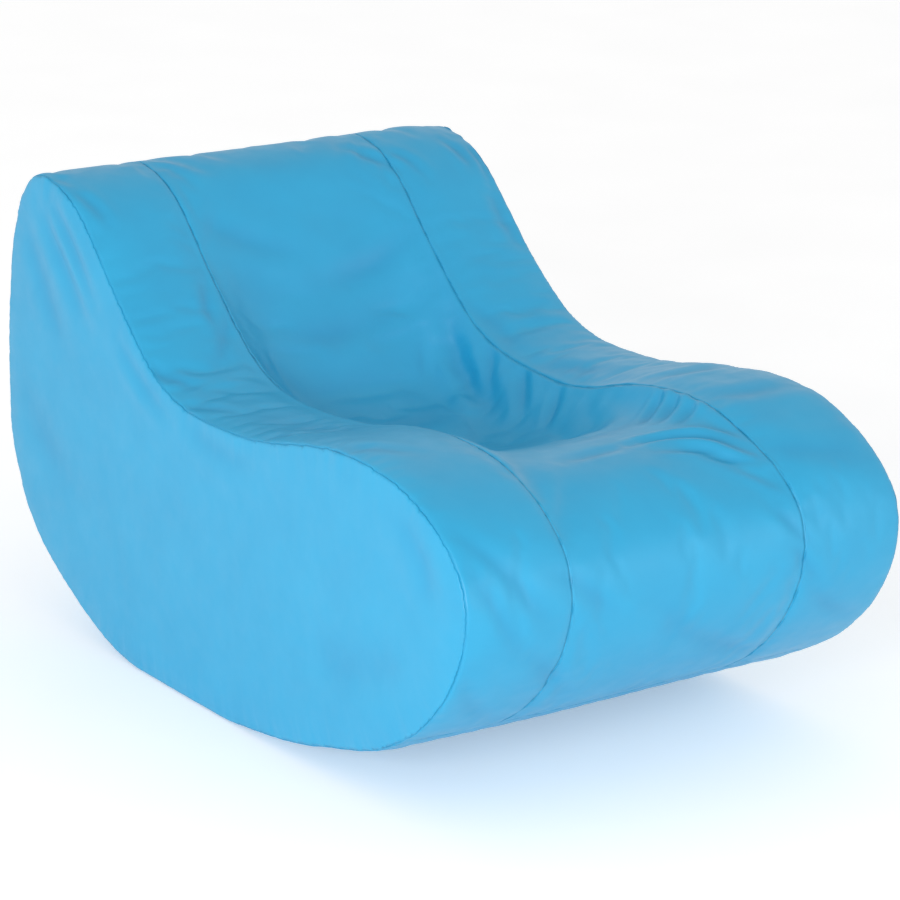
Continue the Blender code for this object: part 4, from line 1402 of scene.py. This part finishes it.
    def sink_borders(self, bm: bmesh.types.BMesh) -> None:
        """Adds narrow strips along a panel's border and turns them down into the seam.

        Args:
            bm: the panel.
        """
        shared = bm.verts.layers.float_vector["seam_normal"]
        plan = bm.verts.layers.float_vector["strip_plan"]
        for _ in range(3):
            bmesh.ops.inset_region(
                bm, faces=bm.faces[:], thickness=self.border, use_boundary=True, use_even_offset=True
            )
        bm.normal_update()
        level = {v: 0 for e in bm.edges if e.is_boundary for v in e.verts}
        edge = list(level)
        moves = [(v, v[shared].normalized()) for v in edge]
        for number in range(1, len(self.groove)):
            edge = [
                w for w in {e.other_vert(v) for v in edge for e in v.link_edges} if w not in level
            ]
            for v in edge:
                level[v] = number
                moves.append((v, v.normal.copy()))
        for v, normal in moves:
            away = abs(v[plan].x - self.outline.zip)
            at_zip = away < 3 * self.zip_half and abs(v.co.x) < self.zip_reach + 0.006
            if not at_zip:
                share = float(self.seam_share(v[plan].x, v.co.x))
                v.co += normal * self.groove[level[v]] * share
                v.co.z = max(v.co.z, 0.0)
        for e in bm.edges:
            e.smooth = not e.is_boundary


# --- Bags and beads inside --------------------------------------------------------------------


@dataclass
class InnerFill:
    """The upright walls, the three bead bags with their closing strips, and the beads."""

    outline: SideOutline
    hollow: SeatHollow
    finishes: Finishes
    spacing: float = 0.030
    bag_depth: float = 0.018
    bead_depth: float = 0.022
    bead_room: float = 0.003
    wall_inset: float = 0.018
    wall_shift: float = 0.007
    seam_room: float = 0.016
    cloth: float = 0.0008
    side_room: float = 0.012
    mouth_half: float = 0.055
    mouth_tall: float = 0.048
    strip_overlap: float = 0.012
    strip_gap: float = 0.0028

    def build(self) -> None:
        """Makes every piece inside the cover."""
        for name, side in (("left", -1), ("right", 1)):
            self.wall(f"{name}_inner_wall", side * (SEAM_X + self.wall_shift))
            low, high = SEAM_X + self.seam_room, WIDTH / 2 - self.side_room
            limits = (low, high) if side > 0 else (-high, -low)
            self.fill(name, limits, False)
        inner = SEAM_X - self.seam_room
        self.fill("centre", (-inner, inner), True)

    def rings(self, stations: np.ndarray, columns: np.ndarray, depth: float, sunk: bool) -> np.ndarray:
        """Points under the cover.

        Args:
            stations: the distances along the outline.
            columns: the places across the chair.
            depth: how far under the cover.
            sunk: whether the seat's hollow presses them down.

        Returns:
            An array with a row for each column, a point (x, y, z) for each station.
        """
        points, normals = self.outline.at(stations)
        made = []
        for x in columns:
            down = np.full(len(stations), depth)
            if sunk:
                down = down + self.hollow.depth(stations, np.full(len(stations), x))
            place = points - normals * down[:, None]
            made.append(np.stack([np.full(len(stations), x), place[:, 0], place[:, 1]], -1))
        return np.array(made)

    def wall(self, name: str, x: float) -> None:
        """An upright fabric wall sewn under a long seam.

        Args:
            name: the CAD node's name.
            x: its place across the chair.
        """
        stations = np.linspace(0.0, self.outline.length, 122)[:-1]
        ring = self.rings(stations, np.array([x]), self.wall_inset, False)[0]
        bm = bmesh.new()
        loop = [bm.verts.new(p) for p in ring]
        face = bm.faces.new(loop)
        bmesh.ops.triangulate(bm, faces=[face])
        bmesh.ops.subdivide_edges(bm, edges=bm.edges[:], cuts=1, use_grid_fill=True)
        for v in bm.verts:
            v.co.x += 0.0015 * smooth_noise(v.co / 0.12, 4.4)
        mesh = mesh_from(bm, f"{name}_cloth")
        piece = add_piece(f"{name}_cloth", mesh, self.finishes.lining, CHAIR, name)
        thicken(piece, self.cloth, 0.0)

    def closed_shell(
        self, limits: tuple[float, float], depth: float, sunk: bool, mouth: bool, seed: float
    ) -> bmesh.types.BMesh:
        """A closed bag shape between two places across the chair, with softly waved faces.

        Args:
            limits: its two ends in x.
            depth: how far it lies under the cover.
            sunk: whether the seat's hollow presses it down.
            mouth: whether the filling mouth in its back is open.
            seed: which waves it gets.

        Returns:
            The shell.
        """
        count = math.ceil(self.outline.length / self.spacing)
        start = self.outline.station_of(self.outline.mouth) - self.mouth_tall / 2
        stations = start + np.linspace(0.0, self.outline.length, count + 1)[:-1]
        centre = sum(limits) / 2
        middle = [centre - self.mouth_half, centre + self.mouth_half]
        steps = max(2, round((middle[0] - limits[0]) / self.spacing))
        left = np.linspace(limits[0], middle[0], steps + 1)
        mid = np.linspace(middle[0], middle[1], 5)[1:-1]
        right = np.linspace(middle[1], limits[1], steps + 1)
        columns = np.concatenate([left, mid, right])
        grid = self.rings(stations, columns, depth, sunk)
        bm = bmesh.new()
        verts = [[bm.verts.new(p) for p in ring] for ring in grid]
        rows = math.ceil(self.mouth_tall / (self.outline.length / count))
        for j in range(len(columns) - 1):
            in_mouth = mouth and middle[0] - 1e-6 <= columns[j] < middle[1] - 1e-6
            for i in range(count):
                if in_mouth and i < rows:
                    continue
                after = (i + 1) % count
                bm.faces.new((verts[j][i], verts[j + 1][i], verts[j + 1][after], verts[j][after]))
        for ring in (verts[0], verts[-1]):
            end = bm.faces.new(ring)
            bmesh.ops.triangulate(bm, faces=[end])
        bmesh.ops.recalc_face_normals(bm, faces=bm.faces)
        bm.normal_update()
        for v in bm.verts:
            v.co += v.normal * 0.002 * smooth_noise(v.co / 0.05, seed)
            v.co.z = max(v.co.z, depth * 0.6)
        return bm

    def fill(self, name: str, limits: tuple[float, float], sunk: bool) -> None:
        """One bead bag, its closing strip and the beads in it.

        Args:
            name: left, centre or right.
            limits: the bag's two ends in x.
            sunk: whether the seat's hollow presses it down.
        """
        seed = 1.0 + abs(limits[0]) * 10
        node = f"{name}_bead_bag"
        bag = mesh_from(self.closed_shell(limits, self.bag_depth, sunk, True, seed), f"{node}_sewn")
        piece = add_piece(f"{node}_sewn", bag, self.finishes.lining, CHAIR, node)
        thicken(piece, self.cloth, -1.0)
        inner = (limits[0] + self.bead_room, limits[1] - self.bead_room)
        node = f"{name}_bead_filling"
        heap = mesh_from(self.closed_shell(inner, self.bead_depth, sunk, False, seed), f"{node}_heap")
        piece = add_piece(f"{node}_heap", heap, self.finishes.beads, CHAIR, node)
        self.closing(name, sum(limits) / 2)

    def closing(self, name: str, centre: float) -> None:
        """The strip sewn over a bag's filling mouth.

        Args:
            name: left, centre or right.
            centre: the mouth's middle in x.
        """
        start = self.outline.station_of(self.outline.mouth) - self.mouth_tall
        stations = start + np.linspace(0.0, self.mouth_tall * 2, 7)
        half = self.mouth_half + self.strip_overlap
        columns = centre + np.linspace(-half, half, 9)
        grid = self.rings(stations, columns, self.bag_depth - self.strip_gap, False)
        bm = bmesh.new()
        verts = [[bm.verts.new(p) for p in ring] for ring in grid]
        for j in range(len(columns) - 1):
            for i in range(len(stations) - 1):
                bm.faces.new((verts[j][i], verts[j][i + 1], verts[j + 1][i + 1], verts[j + 1][i]))
        bm.normal_update()
        if bm.faces[:][0].normal.y < 0:
            bmesh.ops.reverse_faces(bm, faces=bm.faces)
        node = f"{name}_bag_closing_strip"
        mesh = mesh_from(bm, f"{node}_hemmed")
        piece = add_piece(f"{node}_hemmed", mesh, self.finishes.lining, CHAIR, node)
        thicken(piece, self.cloth, -1.0)
        edge = piece.modifiers.new("hem", "BEVEL")
        edge.width = 0.0003
        edge.segments = 2
        edge.limit_method = "ANGLE"


# --- The zip ----------------------------------------------------------------------------------


@dataclass
class CoilZip:
    """The zip across the lower back: two tapes with coil teeth, stops, a locking slider and its hood."""

    outline: SideOutline
    finishes: Finishes
    half_length: float = 0.330
    tape_reach: float = 0.342
    tape_inner: float = 0.0013
    tape_outer: float = 0.0155
    tape_thick: float = 0.0006
    tooth_inner: float = 0.0007
    tooth_outer: float = 0.0034
    tooth_low: float = -0.0012
    tooth_high: float = 0.0008
    tooth_pitch: float = 0.0020
    stop_length: float = 0.004
    slider_length: float = 0.015
    slider_half_width: float = 0.0052
    slider_web: float = 0.0006
    plate: float = 0.0010
    clearance: float = 0.0003
    parked_x: float = 0.315
    lever_length: float = 0.0085
    lever_width: float = 0.0020
    lever_thick: float = 0.0006
    lever_lift: float = 0.0012
    hood_start: float = 0.298
    hood_end: float = 0.338
    hood_half_width: float = 0.0170
    hood_height: float = 0.0062
    hood_wall: float = 0.0008
    stitch: float = 0.0032
    stitch_pitch: float = 0.0042
    thread_half: float = 0.00042
    thread_rise: float = 0.00030
    hem_row: float = 0.0115

    def __post_init__(self) -> None:
        """Finds the zip's place: X along it, Y down the cover, Z out of it."""
        points, normals = self.outline.at(np.array([self.outline.zip]))
        out = Vector((0.0, *normals[0])).normalized()
        along = Vector((1.0, 0.0, 0.0))
        axes = Matrix((along, out.cross(along), out)).transposed().to_4x4()
        self.place = Matrix.Translation((0.0, *points[0])) @ axes
        self.parked = self.place @ Matrix.Translation((self.parked_x, 0.0, 0.0))

    def build(self) -> None:
        """Makes every piece of the zip."""
        for name, side in (("upper", -1), ("lower", 1)):
            self.tape(name, side)
            self.teeth(name, side)
            self.hem_stitches(name, side)
        for name, side in (("left", -1), ("right", 1)):
            self.stop(name, side)
        self.slider()
        self.lever()
        self.hood()
        self.hood_stitches()

    def piece(
        self,
        bm: bmesh.types.BMesh,
        name: str,
        finish: bpy.types.Material,
        slot: str,
        node: str | None,
        body: str = CHAIR,
        place: Matrix | None = None,
    ) -> None:
        """Adds a zip piece that was built in the zip's own axes.

        Args:
            bm: its bmesh.
            name: the piece's name.
            finish: its finish.
            slot: not used.
            node: the CAD node it replaces, if it replaces one.
            body: the body it moves with.
            place: where it goes, the zip's own place if none is given.
        """
        bmesh.ops.recalc_face_normals(bm, faces=bm.faces)
        mesh = mesh_from(bm, name, place or self.place)
        piece = add_piece(name, mesh, finish, body, node)
        piece.data.set_sharp_from_angle(angle=math.radians(40))

    def tape(self, name: str, side: int) -> None:
        """One woven tape."""
        top = -COVER - GAP
        bm = bmesh.new()
        inner, outer = sorted((side * self.tape_inner, side * self.tape_outer))
        add_box(bm, (-self.tape_reach, inner, top - self.tape_thick), (self.tape_reach, outer, top))
        cuts = [e for e in bm.edges if abs(e.verts[0].co.x - e.verts[1].co.x) > 0.1]
        bmesh.ops.subdivide_edges(bm, edges=cuts, cuts=65)
        round_edges(bm, 0.00015, 2, 1.0)
        self.piece(bm, f"zip_tape_{name}_woven", self.finishes.tape, "zip_tape", f"zip_tape_{name}")

    def teeth(self, name: str, side: int) -> None:
        """One row of coil teeth, half a pitch out of step with the other row."""
        bm = bmesh.new()
        inner, outer = sorted((side * self.tooth_inner, side * self.tooth_outer))
        half = self.tooth_pitch * 0.33
        shift = self.tooth_pitch / 4 * side
        count = int((2 * self.half_length - self.tooth_pitch) / self.tooth_pitch)
        first = -self.half_length + self.tooth_pitch / 2 + abs(shift) + shift
        add_box(bm, (first - half, inner, self.tooth_low), (first + half, outer, self.tooth_high))
        bevel(bm, bm.edges[:], 0.00028, 1)
        tooth = bm.verts[:] + bm.edges[:] + bm.faces[:]
        for number in range(1, count):
            copy = bmesh.ops.duplicate(bm, geom=tooth)["geom"]
            moved = [g for g in copy if isinstance(g, bmesh.types.BMVert)]
            bmesh.ops.translate(bm, verts=moved, vec=(number * self.tooth_pitch, 0.0, 0.0))
        self.piece(bm, f"zip_teeth_{name}_coil", self.finishes.teeth, "zip_teeth", f"zip_teeth_{name}")

    def stitch_run(self, bm: bmesh.types.BMesh, start: Vector, end: Vector, out: Vector) -> None:
        """Adds a row of short stitches from one point to another.

        Args:
            bm: the bmesh to add them to.
            start: the row's first point.
            end: its last point.
            out: the way out of the cloth.
        """
        along = (end - start).normalized()
        across = out.cross(along)
        turn = Matrix((along, across, out)).transposed().to_4x4()
        length = (end - start).length
        count = max(1, int(length / self.stitch_pitch))
        shape = turn @ Matrix.Diagonal((self.stitch / 2, self.thread_half, self.thread_rise, 1.0))
        for number in range(count):
            middle = start + along * (number + 0.5) * length / count
            place = Matrix.Translation(middle) @ shape
            bmesh.ops.create_icosphere(bm, subdivisions=1, radius=1.0, matrix=place)

    def hem_stitches(self, name: str, side: int) -> None:
        """The topstitched row that holds the folded cover edge to the tape."""
        bm = bmesh.new()
        row, height = side * self.hem_row, 0.0002
        left = Vector((-self.half_length, row, height))
        right = Vector((self.hood_start - 0.006, row, height))
        self.stitch_run(bm, left, right, Vector((0.0, 0.0, 1.0)))
        self.piece(bm, f"zip_stitching_{name}", self.finishes.thread, "cover_vinyl", None)

    def stop(self, name: str, side: int) -> None:
        """The crimped stop at one end of the teeth."""
        bm = bmesh.new()
        near = side * (self.half_length + GAP)
        low, high = sorted((near, near + side * self.stop_length))
        add_box(bm, (low, -self.tooth_outer, self.tooth_low), (high, self.tooth_outer, self.tooth_high))
        round_edges(bm, 0.0004, 3)
        self.piece(bm, f"zip_stop_{name}_crimped", self.finishes.steel, "zip_metal", f"zip_stop_{name}")

    def shield(self, bm: bmesh.types.BMesh, low: float, high: float) -> None:
        """One slider plate: a shield shape that narrows to both ends."""
        half, wide = self.slider_length / 2, self.slider_half_width
        corners = ((-1.0, 0.70), (-0.1, 1.0), (0.7, 1.0), (1.0, 0.55))
        around = [(half * a, -wide * b) for a, b in corners]
        around += [(x, -y) for x, y in around[::-1]]
        base = bm.faces.new([bm.verts.new((x, y, low)) for x, y in around])
        extrude_face(bm, base, (0.0, 0.0, high - low))

    def slider(self) -> None:
        """The slider: two shield plates joined by a web, side flanges, and two ears for the lever."""
        half, wide = self.slider_length / 2, self.slider_half_width
        top_low = self.tooth_high + self.clearance
        top_high = top_low + self.plate
        under_high = -COVER - GAP - self.tape_thick - self.clearance
        under_low = under_high - self.plate
        bury = self.plate / 2
        bm = bmesh.new()
        self.shield(bm, top_low, top_high)
        self.shield(bm, under_low, under_high)
        web = self.slider_web / 2
        add_box(bm, (-half / 2, -web, under_low + bury), (0.9 * half, web, top_low + bury))
        flange_inner = self.tooth_outer + self.clearance
        for side in (-1, 1):
            flange = sorted((side * flange_inner, side * (wide - self.clearance)))
            add_box(bm, (-0.1 * half, flange[0], -COVER), (0.7 * half, flange[1], top_low + bury))
            ear_in = self.lever_width / 2 + self.clearance
            ear = sorted((side * ear_in, side * (self.lever_width + self.clearance)))
            add_box(
                bm,
                (-0.75 * half, ear[0], top_low + bury),
                (-0.40 * half, ear[1], top_high + self.lever_lift + self.lever_thick),
            )
        bmesh.ops.recalc_face_normals(bm, faces=bm.faces)
        round_edges(bm, 0.00018, 2)
        steel = self.finishes.steel
        self.piece(bm, "zip_slider_cast", steel, "zip_metal", "zip_slider", SLIDER, self.parked)

    def lever(self) -> None:
        """The sprung lever between the slider's ears, with the pin that locks the teeth at its end."""
        plate_top = self.tooth_high + self.clearance + self.plate
        hinge_x = -0.57 * self.slider_length / 2
        hinge_z = plate_top + self.lever_lift / 2 + self.lever_thick / 2
        end = self.lever_length / 2 - self.clearance
        low = hinge_z - self.lever_thick / 2
        high = low + self.lever_thick
        bm = bmesh.new()
        tail = hinge_x - 0.0009
        pin_back, pin_foot = end - 0.0020, plate_top - self.plate + self.clearance / 2
        profile = [
            (tail, low),
            (pin_back, low),
            (pin_back, pin_foot),
            (end, pin_foot),
            (end, high),
            (tail, high),
        ]
        half = self.lever_width / 2
        face = bm.faces.new([bm.verts.new((x, -half, z)) for x, z in profile])
        extrude_face(bm, face, (0.0, self.lever_width, 0.0))
        bmesh.ops.recalc_face_normals(bm, faces=bm.faces)
        round_edges(bm, 0.00012, 2)
        steel = self.finishes.steel
        self.piece(bm, "zip_lock_lever_pressed", steel, "zip_metal", "zip_lock_lever", LEVER, self.parked)

    def hood(self) -> None:
        """The vinyl hood over the parked slider, open towards the zip and sewn down on its other edges."""
        bm = bmesh.new()
        low = (self.hood_start, -self.hood_half_width, GAP)
        high = (self.hood_end, self.hood_half_width, self.hood_height)
        add_box(bm, low, high)
        ends = [f for f in bm.faces if f.normal.z < -0.9 or f.normal.x < -0.9]
        bmesh.ops.delete(bm, geom=ends, context="FACES")
        bmesh.ops.subdivide_edges(bm, edges=bm.edges[:], cuts=5, use_grid_fill=True)
        for v in bm.verts:
            rise = (v.co.z - GAP) / (self.hood_height - GAP)
            across = 1.0 - abs(v.co.y) / self.hood_half_width
            along = (self.hood_end - v.co.x) / (self.hood_end - self.hood_start)
            v.co.z -= rise * (0.0022 * (1.0 - min(1.0, along * 3.0)) + 0.0008 * (1.0 - across) ** 2)
        bm.normal_update()
        corners = [e for e in bm.edges if not e.is_boundary and e.calc_face_angle(0.0) > 0.8]
        bevel(bm, corners, 0.0020, 4)
        bmesh.ops.recalc_face_normals(bm, faces=bm.faces)
        if sum(f.normal.z for f in bm.faces) < 0:
            bmesh.ops.reverse_faces(bm, faces=bm.faces)
        mesh = mesh_from(bm, "zip_garage_folded", self.place)
        piece = add_piece("zip_garage_folded", mesh, self.finishes.vinyl, CHAIR, "zip_garage")
        thicken(piece, self.hood_wall, -1.0)

    def hood_stitches(self) -> None:
        """The stitches round the hood's foot and one row along each of its top edges."""
        bm = bmesh.new()
        height, proud, margin = 0.0012, 0.00005, 0.001
        first, last = self.hood_start + margin, self.hood_end - margin
        for side in (-1, 1):
            y, out = side * (self.hood_half_width + proud), Vector((0.0, side, 0.0))
            self.stitch_run(bm, Vector((first, y, height)), Vector((last, y, height)), out)
            y, top = side * (self.hood_half_width - 0.0034), self.hood_height - 0.0007
            end = self.hood_start + 0.026
            self.stitch_run(bm, Vector((first, y, top)), Vector((end, y, top)), Vector((0.0, 0.0, 1.0)))
        x, y = self.hood_end + proud, self.hood_half_width - margin
        self.stitch_run(bm, Vector((x, -y, height)), Vector((x, y, height)), Vector((1.0, 0.0, 0.0)))
        self.piece(bm, "zip_garage_stitching", self.finishes.thread, "cover_vinyl", None)


# --- The studio -------------------------------------------------------------------------------


@dataclass
class Studio:
    """A plain pale floor, soft light from beside the viewer, and the viewer's place."""

    floor_finish: bpy.types.Material
    eye: tuple[float, float, float] = (-3.1260, -4.7405, 2.0410)
    aim: tuple[float, float, float] = (0.0, -0.0617, 0.3944)
    lens: float = 145.82
    floor_half: float = 30.0
    floor_gap: float = 0.0005
    world_strength: float = 1.06
    zenith_strength: float = 0.68
    key_power: float = 122.0
    fill_power: float = 22.0

    def build(self) -> None:
        """Makes the floor, the world, the lights and the camera."""
        self.floor()
        self.world()
        bpy.context.scene.view_settings.view_transform = "Standard"
        self.light("key_softbox", (-3.9, -3.1, 1.5), (0.0, 0.0, 0.35), 1.6, self.key_power)
        self.light("fill_softbox", (1.6, -4.6, 1.5), (0.0, -0.1, 0.30), 2.4, self.fill_power)
        self.camera()

    def floor(self) -> None:
        """A wide flat floor at the chair's foot."""
        bm = bmesh.new()
        bmesh.ops.create_grid(bm, x_segments=8, y_segments=8, size=self.floor_half)
        bmesh.ops.translate(bm, verts=bm.verts, vec=(0.0, 0.0, -self.floor_gap))
        mesh = mesh_from(bm, "studio_floor")
        mesh.materials.append(self.floor_finish)
        floor = bpy.data.objects.new("studio_floor", mesh)
        bpy.context.scene.collection.objects.link(floor)

    def world(self) -> None:
        """A pale surround, a little dimmer overhead."""
        world = bpy.data.worlds.new("pale_studio")
        bpy.context.scene.world = world
        world.use_nodes = True
        tree = world.node_tree
        tree.nodes.clear()
        way = add_node(tree, "ShaderNodeTexCoord").outputs["Generated"]
        height = add_node(tree, "ShaderNodeSeparateXYZ", {0: way}).outputs["Z"]
        strength = add_node(
            tree,
            "ShaderNodeMapRange",
            {
                "Value": height,
                "From Min": 0.05,
                "From Max": 0.9,
                "To Min": self.world_strength,
                "To Max": self.zenith_strength,
            },
        )
        glow = add_node(
            tree,
            "ShaderNodeBackground",
            {"Color": linear("#ffffff"), "Strength": strength.outputs[0]},
        )
        add_node(tree, "ShaderNodeOutputWorld", {"Surface": glow.outputs[0]})

    def light(
        self,
        name: str,
        place: tuple[float, float, float],
        aim: tuple[float, float, float],
        size: float,
        power: float,
    ) -> None:
        """One square softbox.

        Args:
            name: its name.
            place: where it stands.
            aim: the point it faces.
            size: its side.
            power: its power in watts.
        """
        lamp = bpy.data.lights.new(name, "AREA")
        lamp.size = size
        lamp.energy = power
        self.aimed(name, lamp, place, aim)

    def camera(self) -> None:
        """A long lens a little above the chair, on its front left."""
        data = bpy.data.cameras.new("viewer")
        data.lens = self.lens
        data.sensor_width = 36.0
        data.clip_end = 100.0
        bpy.context.scene.camera = self.aimed("viewer", data, self.eye, self.aim)

    def aimed(
        self,
        name: str,
        data: bpy.types.ID,
        place: tuple[float, float, float],
        aim: tuple[float, float, float],
    ) -> bpy.types.Object:
        """Stands a lamp or a camera somewhere, upright and turned to a point.

        Args:
            name: its name.
            data: the lamp or the camera.
            place: where it stands.
            aim: the point it faces.

        Returns:
            The new object.
        """
        obj = bpy.data.objects.new(name, data)
        obj.location = place
        obj.rotation_euler = (Vector(aim) - Vector(place)).to_track_quat("-Z", "Y").to_euler()
        bpy.context.scene.collection.objects.link(obj)
        return obj


def main() -> None:
    """Builds the chair's looks and the studio round it."""
    logging.basicConfig(level=logging.INFO, format="%(name)s %(message)s")
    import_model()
    outline = SideOutline()
    hollow = SeatHollow(outline)
    finishes = Finishes()
    SewnCover(outline, hollow, finishes.vinyl).build()
    InnerFill(outline, hollow, finishes).build()
    CoilZip(outline, finishes).build()
    Studio(finishes.floor).build()


if __name__ == "__main__":
    main()
